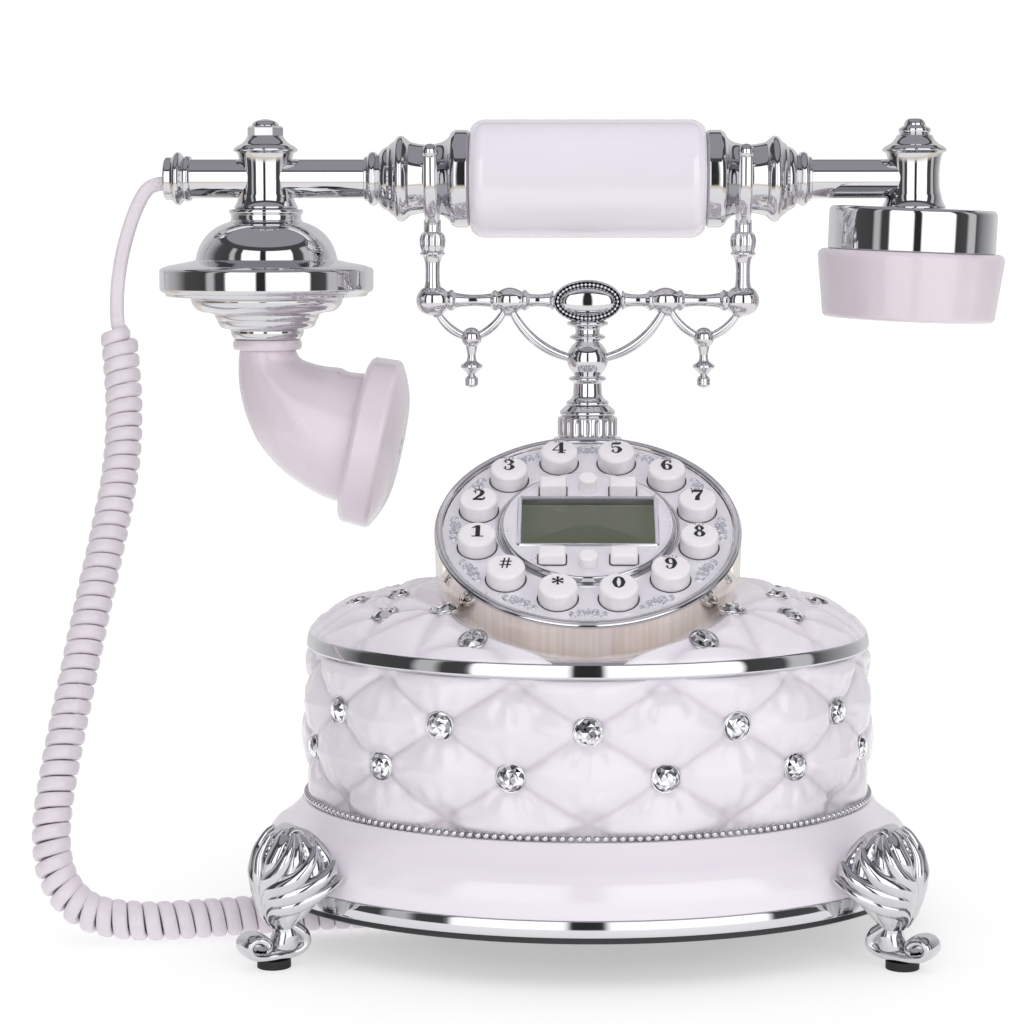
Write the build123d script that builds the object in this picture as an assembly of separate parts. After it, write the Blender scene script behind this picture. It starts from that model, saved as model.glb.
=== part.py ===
from build123d import *
import os
from math import atan2, cos, degrees, pi, radians, sin, sqrt, tan

os.makedirs("parts", exist_ok=True)

# Ornate cradle telephone.  Millimetres, +Z up, origin on the floor under the middle of the body,
# keys facing -Y.  Every oval of the body is a round shape drawn in from front to back.

# ---------------------------------------------------------------- driving dimensions: the body
OVAL_DEPTH = 0.77            # front-to-back size of every oval over its side-to-side size
PLATE_BOTTOM = 12.5          # underside of the base plate above the floor
PLATE_THICK = 3.0
LIP_LOW = 12.2               # edge of the plate that shows under the chrome band
LIP_IN = 0.9                 # how far in from the band it stands
RIM_LOW = 14.0               # chrome band round the foot of the skirt
RIM_HIGH = 18.7
RIM_WIDE = 2.8
SKIRT_TOP = 38.5
WALL = 2.5
DRUM_HALF = 83.0             # half width of the quilted drum at its foot and its top
DECK_LEDGE = 2.5             # the skirt's top edge stands out this far from the drum
SKIRT_FLARE = 12.1           # and its foot this far from that edge
RIM_OVER = 0.6               # and the band this far from its foot
DECK_HALF = DRUM_HALF + DECK_LEDGE
SKIRT_HALF = DECK_HALF + SKIRT_FLARE
RIM_HALF = SKIRT_HALF + RIM_OVER
DRUM_TOP = 83.8
DRUM_SWELL = 1.8             # how far the drum's wall bows out at mid height
DRUM_WALL = 4.6
BEAD = 1.1                   # radius of the bead chain round the drum's foot
BAND_OVER = 1.1              # the band round the drum's top stands out this far from it
BAND_HALF = DRUM_HALF + BAND_OVER
BAND_HIGH = 5.2
BAND_WIDE = 5.4
CROWN = 14.5                 # rise of the top cushion over the band
CLEAR = 0.1                  # gap between fixed pieces that nest

# crystals sit in tufts: a small pocket with a wide sloping mouth
CRYSTAL_R = 4.0
CRYSTAL_BED = 1.6
CRYSTAL_ROWS = ((69.4, 0.0), (56.0, 15.0))   # height, first angle from the front
CRYSTALS_PER_ROW = 12
TUFT_R = 10.5

# ---------------------------------------------------------------- feet
FOOT_IN_X, FOOT_IN_Y = 8.6, 21.152   # how far in from the skirt's foot each foot stands
FOOT_X, FOOT_Y = SKIRT_HALF - FOOT_IN_X, SKIRT_HALF * OVAL_DEPTH - FOOT_IN_Y
REAR_IN_X, REAR_IN_Y = 23.6, 15.152  # the same for the rear feet, which stand behind the body
REAR_X, REAR_Y = SKIRT_HALF - REAR_IN_X, SKIRT_HALF * OVAL_DEPTH - REAR_IN_Y
PAD_R = 4.8
PAD_HIGH = 2.4
TOE_R = 4.1
TOE_OUT = 5.4
TOE_LONG = 9.0

# ---------------------------------------------------------------- inside the body
LINE_JACK_W, LINE_JACK_H = 14.0, 11.0
LINE_JACK_Z = 19.0
LINE_JACK_IN, LINE_JACK_LONG = 3.014, 14.6   # its face behind the rim's back, its length
LINE_JACK_FACE = RIM_HALF * OVAL_DEPTH - LINE_JACK_IN
LINE_JACK_Y = LINE_JACK_FACE - LINE_JACK_LONG
LINE_MOUTH_W, LINE_MOUTH_H, LINE_MOUTH_DEEP = 9.8, 6.8, 11.0
RINGER_IN = 23.5                             # ringer's middle in from the deck's edge
RINGER_Y, RINGER_R, RINGER_HIGH = 12.0, 14.0, 8.0
RINGER_X = RINGER_IN - DECK_HALF

# ---------------------------------------------------------------- dial
DIAL_TILT = 31.0             # face leans back this far from flat
DIAL_Y, DIAL_Z = -13.0, 121.0
DIAL_R = 45.2
DIAL_LEDGE = DIAL_R - 4.2    # bore under the face that the board fits
FACE_R = DIAL_R - 2.4
FACE_DROP = 1.2              # face below the housing's lip
FACE_THICK = 2.4
INSET_R = 0.562 * DIAL_R     # raised disc that carries the display
INSET_RISE = 1.8
SEAT_FRONT = (-45.0, 85.6)   # (Y, Z) of the floor that the housing stands on
SEAT_BACK = (56.0, 91.8)
KEY_R = DIAL_R / 8
KEY_CIRCLE = 0.741 * DIAL_R
KEY_PROUD = 5.3
KEY_FIT = 0.1                # gap round each key in its hole
KEY_TRAVEL = 1.5
KEY_FLANGE = 0.95
KEY_FLANGE_THICK = 1.2
KEYS = ("4", "3", "2", "1", "hash", "star", "0", "9", "8", "7", "6", "5")
KEY_FIRST = 105.0            # angle of the first key, the rest follow every 30 degrees
LCD_W, LCD_H, LCD_UP = 0.872 * DIAL_R, 0.478 * DIAL_R, 1.5
LCD_THICK = 1.4
LCD_LEDGE = 1.5
SIDE_KEY_W, SIDE_KEY_H, SIDE_KEY_X = 0.175 * DIAL_R, 0.115 * DIAL_R, 0.23 * DIAL_R
MID_KEY_R = 0.062 * DIAL_R
UPPER_KEYS_V, LOWER_KEYS_V = 0.354 * DIAL_R, -0.365 * DIAL_R
MID_KEY_OUT = 1.8            # middle keys lie this much further from the display
UPPER_KEY_PROUD, LOWER_KEY_PROUD = 4.2, 3.3
BOARD_THICK = 1.6

# ---------------------------------------------------------------- stem and cradle
STEM_BEHIND = 10.256          # stem behind the dial's upper edge
STEM_Y = DIAL_Y + DIAL_R * cos(radians(DIAL_TILT)) + STEM_BEHIND
BOSS_R = 11.0
BOSS_TOP = 143.0
COLLAR_R = 9.25
COLLAR_TOP = 153.0
SHAFT_R = 3.5
SHAFT_LOW = 112.0
SHAFT_FIT = 0.06
SPRING_LOW = 104.0
SWITCH_LONG, SWITCH_WIDE = 16.0, 12.0
STEM_LIFT_GAP = 0.2
BALL_R, BALL_Z = 6.2, 167.0
BAR_Z = 185.5
MEDAL_W, MEDAL_H, MEDAL_T, MEDAL_Z = 21.5, 13.3, 6.0, 185.2
END_X, END_R = 48.0, 4.4
MID_X, MID_R = 24.4, 4.0
DROP_X, DROP_Z, DROP_R = 36.0, 173.7, 3.2
BIG_SWAG_R, SMALL_SWAG_R = 1.55, 1.35
PRONG_WIDE = 4.2
PRONG_THICK = 3.4
PRONG_TOP = 231.0
SADDLE_FIT = 0.3

# ---------------------------------------------------------------- handset
HAND_Z = 223.0
TUBE_R = 6.0
TUBE_WALL = 1.2
BORE_FIT = 0.05
GRIP_R, GRIP_HALF, GRIP_EDGE = 18.15, 36.2, 3.5
WAIST_R = 10.75
TAIL_X = -130.6
MOUTH_X, EAR_X = -99.4, 100.5
POST_R = 8.2
POST_FOOT = 213.8
ELBOW_TOP = 173.4
CAP_DIP = 12.0               # the mouth cap faces this far below level
CAP_X, CAP_Z = -72.4, 142.6  # middle of the cap's back
CAP_R, CAP_THICK, CAP_CROWN = 26.6, 10.3, 4.6
ELBOW_WALL = 2.6
EAR_TILT = 2.3
EAR_TOP = 214.0
EAR_DRUM_R, EAR_DRUM_HIGH = 25.8, 13.3
EAR_CAP_R, EAR_CAP_MOUTH_R, EAR_CAP_HIGH = 28.7, 26.6, 21.0
EAR_DISH = 1.6
SOUND_HOLE_R = 1.0
MIC_R, MIC_HIGH = 4.85, 4.5
RECEIVER_R, RECEIVER_HIGH = 15.0, 6.0

# ---------------------------------------------------------------- cord
CORD_R = 1.7
COIL_R = 4.2                 # radius of the coil at the middle of the strand
COIL_PITCH = 4.6
COIL_LIE = 6.1               # height of the coil's middle where it lies on the floor
STRAIGHT_END = 2 * CORD_R    # each end of the wound strand runs straight this far
PLUG_X, PLUG_Y, PLUG_Z = -12.0, -9.0, 20.6
PLUG_LONG, PLUG_WIDE, PLUG_HIGH = 11.0, 7.6, 6.4
PLUG_IN_JACK = 8.0
JACK_WALL = 2.4
JACK_DEEP = 12.0
PLUG_FIT = 0.15
WELL_LOW_X, WELL_LOW_Y, WELL_HIGH_Y = -44.0, -20.0, 2.0   # opening in the plate for the plug
LEAD_ROUTE = [(TAIL_X, STEM_Y, 221.5), (-135.2, STEM_Y, 221.5), (-139.0, 35.9, 215.5), (-142.4, 35.6, 206.5),
              (-145.9, 35.2, 195.5), (-148.3, 34.7, 184.5), (-149.0, 34.3, 175.6)]
COIL_ROUTE = [(-144.6, 33.4, 169.6), (-142.9, 29.0, 152.0), (-143.0, 22.0, 134.0),
              (-145.8, 12.0, 114.0), (-149.2, 0.5, 93.0), (-152.6, -11.0, 70.0),
              (-155.6, -20.0, 50.0), (-156.9, -26.2, 34.1), (-152.3, -28.8, 21.4),
              (-143.1, -30.0, 11.5), (-130.8, -29.4, COIL_LIE), (-116.5, -26.0, COIL_LIE),
              (-99.0, -20.8, COIL_LIE), (-80.0, -16.4, COIL_LIE), (-62.0, -13.2, COIL_LIE),
              (-49.0, -11.8, COIL_LIE)]
TAIL_OUT = 9.0               # from the coil's last turn to the start of its tail
TAIL_RUN = 5.4               # the tail's first stretch, in line with the coil
TAIL_ROUTE_MIDDLE = [(-29.4, -10.2, 9.0), (-26.2, -9.8, 14.0), (-22.6, -9.3, 18.6),
                     (PLUG_X - 5.6, PLUG_Y, PLUG_Z)]

PARTS = {}


# ---------------------------------------------------------------- shapes used all over
def bowed(start, end, bow):
    """Side of an outline that bows to the right of its travel by the given amount."""
    run = Vector(end[0] - start[0], end[1] - start[1])
    middle = Vector(start[0] + end[0], start[1] + end[1]) / 2
    return ThreePointArc(start, middle + Vector(run.Y, -run.X).normalized() * bow, end)


def outline(points):
    """Closed face through (across, up) points; a third number bows the side that ends there."""
    sides = []
    for before, point in zip([points[-1]] + points[:-1], points):
        start, end = before[:2], point[:2]
        sides.append(bowed(start, end, point[2]) if len(point) == 3 else Line(start, end))
    return make_face(sides)


def turned(profile, bore=0.0):
    """Body of revolution about Z from its outer profile, listed upwards, with an optional bore."""
    closed = [(bore, profile[0][1])] + list(profile) + [(bore, profile[-1][1])]
    return revolve(Plane.XZ * outline(closed), Axis.Z)


def oval(points):
    """Closed (half width, height) outline turned about Z, then drawn in front to back."""
    return scale(revolve(Plane.XZ * outline(points), Axis.Z), by=(1, OVAL_DEPTH, 1))


def block(low, high):
    """Box between two corners."""
    size = [b - a for a, b in zip(low, high)]
    return Pos(*low) * Box(*size, align=(Align.MIN, Align.MIN, Align.MIN))


def rod(radius, low, high):
    """Upright cylinder between two heights."""
    return Pos(0, 0, low) * Cylinder(radius, high - low, align=(Align.CENTER, Align.CENTER, Align.MIN))


def tube_along(path, radius):
    """Round bar swept along a path of straight runs and arcs."""
    return sweep(Plane(origin=path @ 0, z_dir=path % 0) * Circle(radius), path=path)


def ball(radius, x, y, z):
    return Pos(x, y, z) * Sphere(radius)


DIAL = Plane(origin=(0, DIAL_Y, DIAL_Z), x_dir=(1, 0, 0),
             z_dir=(0, -sin(radians(DIAL_TILT)), cos(radians(DIAL_TILT))))
SEAT_SLOPE = atan2(SEAT_BACK[1] - SEAT_FRONT[1], SEAT_BACK[0] - SEAT_FRONT[0])
SEAT = Plane(origin=(0, SEAT_FRONT[0], SEAT_FRONT[1]), x_dir=(1, 0, 0),
             z_dir=(0, -sin(SEAT_SLOPE), cos(SEAT_SLOPE)))
STEM = Pos(0, STEM_Y, 0)
HAND = Plane(origin=(0, STEM_Y, HAND_Z), x_dir=(0, 1, 0), z_dir=(1, 0, 0))


def above_seat():
    """Everything over the sloping floor that the dial housing stands on."""
    return SEAT * Box(2 * RIM_HALF, 2 * RIM_HALF, BOSS_TOP, align=(Align.CENTER, Align.CENTER, Align.MIN))


# ---------------------------------------------------------------- base
def skirt_outside(inset):
    """Outer shape of the skirt, drawn in by an inset."""
    foot, edge = SKIRT_HALF - inset, DECK_HALF - inset
    return oval([(0, RIM_HIGH), (foot, RIM_HIGH), (foot, RIM_HIGH + 3.5),
                 (edge + 7.5, SKIRT_TOP - 7 - inset / 2, 1.3), (edge, SKIRT_TOP - inset, -0.5),
                 (0, SKIRT_TOP - inset)])


def drum_half(z):
    """Half width of the drum's bowed wall at a height."""
    middle, half = (SKIRT_TOP + DRUM_TOP) / 2, (DRUM_TOP - SKIRT_TOP) / 2
    radius = (half ** 2 + DRUM_SWELL ** 2) / (2 * DRUM_SWELL)
    return DRUM_HALF + DRUM_SWELL - radius + sqrt(radius ** 2 - (z - middle) ** 2)


def drum_beds():
    """Plane of each tuft on the drum's wall, facing outwards."""
    beds = []
    for z, first in CRYSTAL_ROWS:
        for i in range(CRYSTALS_PER_ROW):
            turn = radians(first - 90 + 360 / CRYSTALS_PER_ROW * i)
            across, deep = drum_half(z), drum_half(z) * OVAL_DEPTH
            out = (deep * cos(turn), across * sin(turn), 0)
            beds.append(Plane(origin=(across * cos(turn), deep * sin(turn), z), z_dir=out))
    return beds


CUSHION_HALF = BAND_HALF - 0.9
CUSHION_FOOT = DRUM_TOP + BAND_HIGH
# crown of the cushion as (share of its half width, share of its rise, bow of the side that ends there)
CUSHION_CROWN = ((0.965, 0.18, 0.4), (0.89, 0.40, 0.3), (0.77, 0.68, 0.4), (0.51, 0.90, 0.6), (0.0, 1.0, 0.3))
# angle of each tuft on the right, and its share of the way from the housing to the band
TOP_TUFTS = ((64.0, 0.58), (34.0, 0.65), (0.0, 0.63), (-8.0, 0.31),
             (-30.0, 0.56), (-45.6, 0.22), (-64.5, 0.65))


def cushion_height(share):
    """Height of the crown at a share of the half width, between the crown's points."""
    points = [(1.0, 0.0)] + [(a, b) for a, b, _ in CUSHION_CROWN]
    for (a0, b0), (a1, b1) in zip(points, points[1:]):
        if a1 <= share <= a0:
            return CUSHION_FOOT + CROWN * (b0 + (b1 - b0) * (share - a0) / (a1 - a0))
    return CUSHION_FOOT + CROWN


def housing_share(turn):
    """Share of the cushion's half width where the leaning housing comes through half its rise."""
    lean = radians(DIAL_TILT)
    behind = DIAL_Y + (DIAL_Z - CUSHION_FOOT - CROWN / 2) * tan(lean)
    across = CUSHION_HALF * cos(turn) / DIAL_R
    deep = CUSHION_HALF * OVAL_DEPTH * sin(turn) * cos(lean) / DIAL_R
    shift = behind * cos(lean) / DIAL_R
    square = across ** 2 + deep ** 2
    return (deep * shift + sqrt((deep * shift) ** 2 - square * (shift ** 2 - 1))) / square


def top_beds():
    """Plane of each tuft on the cushion, square to its crown, on the right and then on the left."""
    beds = []
    for angle, part in TOP_TUFTS + tuple((180 - angle, part) for angle, part in TOP_TUFTS):
        turn, step = radians(angle), 0.03
        share = housing_share(turn) + part * (1 - housing_share(turn))
        slope = (cushion_height(share - step) - cushion_height(share + step)) / (2 * step * CUSHION_HALF)
        x, y = CUSHION_HALF * share * cos(turn), CUSHION_HALF * share * sin(turn) * OVAL_DEPTH
        out = (cos(turn) * slope, sin(turn) * slope / OVAL_DEPTH, 1)
        beds.append(Plane(origin=(x, y, cushion_height(share)), z_dir=out))
    return beds


def tuft():
    """What a tuft takes out of the surface: the crystal's pocket and its sloping mouth."""
    return turned([(CRYSTAL_R + CLEAR, -CRYSTAL_BED), (CRYSTAL_R + CLEAR, -CRYSTAL_BED + 0.5), (TUFT_R, 1.0)])


def crystal():
    """Cut stone: girdle, crown and table."""
    girdle = CRYSTAL_BED * 0.6
    return turned([(CRYSTAL_R * 0.9, -CRYSTAL_BED), (CRYSTAL_R, girdle - CRYSTAL_BED),
                   (CRYSTAL_R * 0.6, 0.8)])


def build_base():
    plate_half = RIM_HALF - RIM_WIDE - CLEAR
    plate_top = PLATE_BOTTOM + PLATE_THICK
    lip = RIM_HALF - LIP_IN
    plate = oval([(0, PLATE_BOTTOM), (plate_half - 1, PLATE_BOTTOM), (plate_half - 0.5, LIP_LOW),
                  (lip - 0.4, LIP_LOW), (lip, LIP_LOW + 0.4), (lip, RIM_LOW), (plate_half, RIM_LOW),
                  (plate_half, plate_top), (0, plate_top)])
    well_end = PLUG_X + PLUG_LONG - PLUG_IN_JACK
    plate -= block((WELL_LOW_X, WELL_LOW_Y, PLATE_BOTTOM - 1), (well_end, WELL_HIGH_Y, plate_top + 1))
    plate += block((-LINE_JACK_W / 2, LINE_JACK_Y, plate_top), (LINE_JACK_W / 2, LINE_JACK_FACE, LINE_JACK_Z))
    PARTS["base_plate"] = plate

    skirt = skirt_outside(0) - skirt_outside(WALL)
    deck_hole = oval([(0, SKIRT_TOP - 2 * WALL), (DRUM_HALF - 12, SKIRT_TOP - 2 * WALL),
                      (DRUM_HALF - 12, SKIRT_TOP + 1), (0, SKIRT_TOP + 1)])
    window = block((-LINE_JACK_W / 2 - CLEAR, LINE_JACK_Y, LINE_JACK_Z - CLEAR),
                   (LINE_JACK_W / 2 + CLEAR, RIM_HALF, LINE_JACK_Z + LINE_JACK_H + CLEAR))
    PARTS["base_skirt"] = skirt - deck_hole - window
    inner = RIM_HALF - RIM_WIDE
    PARTS["skirt_rim"] = oval([(inner, RIM_LOW), (RIM_HALF - 0.5, RIM_LOW), (RIM_HALF - 0.5, RIM_HIGH, 0.5),
                               (inner, RIM_HIGH)])
    PARTS["drum_shell"] = drum_shell()
    band_in = BAND_HALF - BAND_WIDE
    PARTS["drum_rim"] = oval([(band_in, DRUM_TOP), (BAND_HALF - 0.8, DRUM_TOP),
                              (BAND_HALF - 0.8, DRUM_TOP + BAND_HIGH, 0.8), (band_in, DRUM_TOP + BAND_HIGH)])
    PARTS["top_cushion"] = top_cushion(band_in)
    chain = DRUM_HALF + 0.2 + BEAD + CLEAR / 2
    PARTS["bead_trim"] = scale(revolve(Plane.XZ * Pos(chain, SKIRT_TOP + BEAD) * Circle(BEAD), Axis.Z),
                               by=(1, OVAL_DEPTH, 1))
    PARTS["crystals"] = Compound([bed * crystal() for bed in drum_beds() + top_beds()])


def drum_shell():
    """Bowed wall with a flange at its top that carries the cushion, dimpled at each tuft."""
    inner, flange = DRUM_HALF - DRUM_WALL, DRUM_HALF - 16
    wall = oval([(inner, SKIRT_TOP), (DRUM_HALF, SKIRT_TOP), (DRUM_HALF, DRUM_TOP, DRUM_SWELL),
                 (flange, DRUM_TOP), (flange, DRUM_TOP - WALL), (inner, DRUM_TOP - WALL)])
    return wall - [bed * tuft() for bed in drum_beds()]


def top_cushion(band_in):
    """Crowned cushion on the band, hollowed for the dial housing and falling away round it."""
    crown = [(CUSHION_HALF * a, CUSHION_FOOT + CROWN * b, bow) for a, b, bow in CUSHION_CROWN]
    body = oval([(0, DRUM_TOP), (band_in - CLEAR, DRUM_TOP), (band_in - CLEAR, CUSHION_FOOT),
                 (CUSHION_HALF, CUSHION_FOOT)] + crown)
    body -= [bed * tuft() for bed in top_beds()]
    trough = turned([(DIAL_R + 0.8, -12.4), (DIAL_R + 20, 9.6)])
    hollow = (DIAL * rod(DIAL_R + CLEAR, -DIAL_R * 2, CROWN)) & above_seat()
    return body - DIAL * trough - hollow


# ---------------------------------------------------------------- feet
def foot():
    """Cast scroll foot: a leaf that swells out, narrows to an ankle and curls into a toe."""
    # height, outward place of the middle, half depth, half width
    stations = ((PAD_HIGH, -0.6, 6.6, 5.0), (5.0, -1.6, 8.0, 5.4), (9.0, -2.4, 6.4, 5.0),
                (14.0, -3.6, 6.2, 6.6), (19.5, -6.6, 10.4, 10.2), (26.0, -8.0, 13.4, 13.0),
                (32.0, -6.8, 11.0, 12.0), (37.0, -6.0, 6.6, 8.6), (40.5, -6.4, 2.4, 3.6))
    sections = [Pos(out, 0, z) * Ellipse(deep, wide) for z, out, deep, wide in stations]
    toe = Pos(TOE_OUT, 0, PAD_HIGH + TOE_R + 0.4) * Rot(90, 0, 0) * Cylinder(TOE_R, TOE_LONG)
    return loft(sections) + toe


def build_feet():
    skirt = skirt_outside(-CLEAR)
    rim = oval([(0, LIP_LOW - CLEAR), (RIM_HALF + CLEAR, LIP_LOW - CLEAR),
                (RIM_HALF + CLEAR, RIM_HIGH + CLEAR), (0, RIM_HIGH + CLEAR)])
    feet, pads = [], []
    for side in (-1, 1):
        for x, y in ((side * FOOT_X, -FOOT_Y), (side * REAR_X, REAR_Y)):
            place = Pos(x, y, 0) * Rot(0, 0, degrees(atan2(y, x)))
            feet.append(place * foot() - skirt - rim)
            pads.append(place * rod(PAD_R, 0, PAD_HIGH))
    PARTS["feet"] = Compound(feet)
    PARTS["foot_pads"] = Compound(pads)


# ---------------------------------------------------------------- inside the body
def build_inside():
    jack = block((-LINE_JACK_W / 2, LINE_JACK_Y, LINE_JACK_Z),
                 (LINE_JACK_W / 2, LINE_JACK_FACE, LINE_JACK_Z + LINE_JACK_H))
    middle = LINE_JACK_Z + LINE_JACK_H / 2
    jack -= block((-LINE_MOUTH_W / 2, LINE_JACK_FACE - LINE_MOUTH_DEEP, middle - LINE_MOUTH_H / 2),
                  (LINE_MOUTH_W / 2, LINE_JACK_FACE + 1, middle + LINE_MOUTH_H / 2))
    PARTS["line_jack"] = jack

    mouth = PLUG_X + PLUG_LONG - PLUG_IN_JACK
    half_w, half_h = PLUG_WIDE / 2 + PLUG_FIT, PLUG_HIGH / 2 + PLUG_FIT
    socket = block((mouth, PLUG_Y - half_w - JACK_WALL, PLATE_BOTTOM + PLATE_THICK),
                   (mouth + JACK_DEEP, PLUG_Y + half_w + JACK_WALL, PLUG_Z + half_h + JACK_WALL))
    socket -= block((mouth - 1, PLUG_Y - half_w, PLUG_Z - half_h),
                    (mouth + PLUG_IN_JACK + PLUG_FIT, PLUG_Y + half_w, PLUG_Z + half_h))
    PARTS["cord_jack"] = socket
    plate_top = PLATE_BOTTOM + PLATE_THICK
    ringer_top = plate_top + RINGER_HIGH
    PARTS["ringer"] = Pos(RINGER_X, RINGER_Y, 0) * turned(
        [(RINGER_R, plate_top), (RINGER_R, ringer_top - 2), (RINGER_R - 3, ringer_top)])


# ---------------------------------------------------------------- dial
def key_places():
    """Name, across and up of each number key on the face."""
    turns = [radians(KEY_FIRST + 360 / len(KEYS) * i) for i in range(len(KEYS))]
    return [(name, KEY_CIRCLE * cos(turn), KEY_CIRCLE * sin(turn)) for name, turn in zip(KEYS, turns)]


def function_places():
    """Name, across, up, how proud, and whether round, of each small key by the display."""
    places = []
    rows = (("upper", UPPER_KEYS_V, UPPER_KEY_PROUD), ("lower", LOWER_KEYS_V, LOWER_KEY_PROUD))
    for row, up, proud in rows:
        outward = MID_KEY_OUT if up > 0 else -MID_KEY_OUT
        places += [(f"{row}_left", -SIDE_KEY_X, up, proud, False),
                   (f"{row}_mid", 0.0, up + outward, proud, True),
                   (f"{row}_right", SIDE_KEY_X, up, proud, False)]
    return places


def function_shape(is_round, grow):
    """Outline of a small key, grown by a gap or a flange."""
    if is_round:
        return Circle(MID_KEY_R + grow)
    return RectangleRounded(SIDE_KEY_W + 2 * grow, SIDE_KEY_H + 2 * grow, 0.6 + max(grow, 0))


def dial_housing():
    outer = (DIAL * rod(DIAL_R, -2 * DIAL_R, 0)) & above_seat()
    boss = (STEM * rod(BOSS_R, SEAT_FRONT[1], BOSS_TOP)) & above_seat()
    shell = outer + boss
    shell -= DIAL * rod(DIAL_LEDGE, -2 * DIAL_R - 1, -FACE_DROP - FACE_THICK)
    shell -= DIAL * rod(FACE_R + CLEAR, -FACE_DROP - FACE_THICK, 1)
    return shell - STEM * rod(SHAFT_R + SHAFT_FIT, SEAT_FRONT[1], BOSS_TOP + 1)


def build_dial():
    PARTS["dial_housing"] = dial_housing()
    low = -FACE_DROP - FACE_THICK
    inset_top = -FACE_DROP + INSET_RISE
    face = rod(FACE_R, low, -FACE_DROP) + rod(INSET_R, low, inset_top)
    for _, x, up in key_places():
        face -= Pos(x, up, 0) * rod(KEY_R + KEY_FIT, low - 1, 1)
    for _, x, up, _, is_round in function_places():
        face -= Pos(x, up, low - 1) * extrude(function_shape(is_round, KEY_FIT), inset_top - low + 2)
    window = Pos(0, LCD_UP, inset_top - LCD_THICK) * Box(LCD_W + 2 * CLEAR, LCD_H + 2 * CLEAR, 4,
                                                        align=(Align.CENTER, Align.CENTER, Align.MIN))
    sight = Pos(0, LCD_UP, 0) * Box(LCD_W - 2 * LCD_LEDGE, LCD_H - 2 * LCD_LEDGE, 12)
    PARTS["dial_face"] = DIAL * (face - window - sight)
    PARTS["display_window"] = DIAL * Pos(0, LCD_UP, inset_top - LCD_THICK) * Box(
        LCD_W, LCD_H, LCD_THICK, align=(Align.CENTER, Align.CENTER, Align.MIN))

    flange_top = low - CLEAR / 2
    board_top = flange_top - KEY_FLANGE_THICK - KEY_TRAVEL - CLEAR
    PARTS["main_board"] = DIAL * rod(DIAL_LEDGE - CLEAR / 2, board_top - BOARD_THICK, board_top)
    top = -FACE_DROP + KEY_PROUD
    for name, x, up in key_places():
        key = turned([(KEY_R + KEY_FLANGE, flange_top - KEY_FLANGE_THICK), (KEY_R + KEY_FLANGE, flange_top),
                      (KEY_R, flange_top), (KEY_R, top - 0.9), (KEY_R - 0.9, top, 0.26)])
        PARTS[f"key_{name}"] = DIAL * Pos(x, up, 0) * key
    for name, x, up, proud, is_round in function_places():
        flange = extrude(function_shape(is_round, KEY_FLANGE - 0.3), KEY_FLANGE_THICK)
        stem = extrude(function_shape(is_round, 0), inset_top + proud - flange_top)
        stem = fillet(stem.edges().group_by(Axis.Z)[-1], 0.45)
        PARTS[f"key_{name}"] = DIAL * (Pos(x, up, flange_top - KEY_FLANGE_THICK) * flange
                                       + Pos(x, up, flange_top) * stem)


# ---------------------------------------------------------------- stem and cradle
def build_stem():
    collar = turned([(COLLAR_R - 0.6, BOSS_TOP), (COLLAR_R, BOSS_TOP + 0.8), (COLLAR_R, BOSS_TOP + 6.2),
                     (COLLAR_R - 1.4, BOSS_TOP + 6.8), (COLLAR_R - 1.0, BOSS_TOP + 8.6, 0.6),
                     (COLLAR_R - 2.6, COLLAR_TOP)], SHAFT_R + SHAFT_FIT)
    PARTS["stem_collar"] = STEM * collar
    foot = COLLAR_TOP + STEM_LIFT_GAP
    neck = MEDAL_Z - MEDAL_H / 2
    stem = turned([(SHAFT_R, SHAFT_LOW), (SHAFT_R, foot), (6.4, foot), (6.4, foot + 1.6, 0.5),
                   (4.4, foot + 2.6), (3.7, foot + 4.6, -0.2), (4.4, foot + 7.0, -0.2),
                   (6.0, foot + 8.2), (6.0, foot + 9.2, 0.4),
                   (3.9, foot + 9.4), (3.9, BALL_Z + 4.8, BALL_R - 3.9), (5.2, BALL_Z + 5.4),
                   (5.2, BALL_Z + 7.0, 0.5), (3.0, BALL_Z + 7.6), (3.0, neck - 1.6, -0.3), (4.6, neck - 1.2),
                   (4.6, neck + 0.8, 0.4)])
    medal = Plane(origin=(0, STEM_Y, MEDAL_Z), x_dir=(1, 0, 0), z_dir=(0, -1, 0))
    plaque = medal * (Pos(0, 0, -MEDAL_T / 2) * extrude(Ellipse(MEDAL_W / 2, MEDAL_H / 2), MEDAL_T))
    rim = Ellipse(MEDAL_W / 2, MEDAL_H / 2) - Ellipse(MEDAL_W / 2 - 1.9, MEDAL_H / 2 - 1.9)
    plaque += medal * (Pos(0, 0, MEDAL_T / 2) * extrude(rim, 0.8))
    PARTS["medallion"] = plaque
    PARTS["cradle_stem"] = STEM * stem - plaque
    switch = block((-SWITCH_LONG / 2, STEM_Y - SWITCH_WIDE / 2, SEAT_FRONT[1]),
                   (SWITCH_LONG / 2, STEM_Y + SWITCH_WIDE / 2, SPRING_LOW))
    PARTS["hook_switch"] = switch & above_seat()
    coil = SHAFT_R - 0.3
    PARTS["hook_spring"] = STEM * turned([(coil, SPRING_LOW), (coil, SHAFT_LOW)], coil - 1.0)


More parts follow.
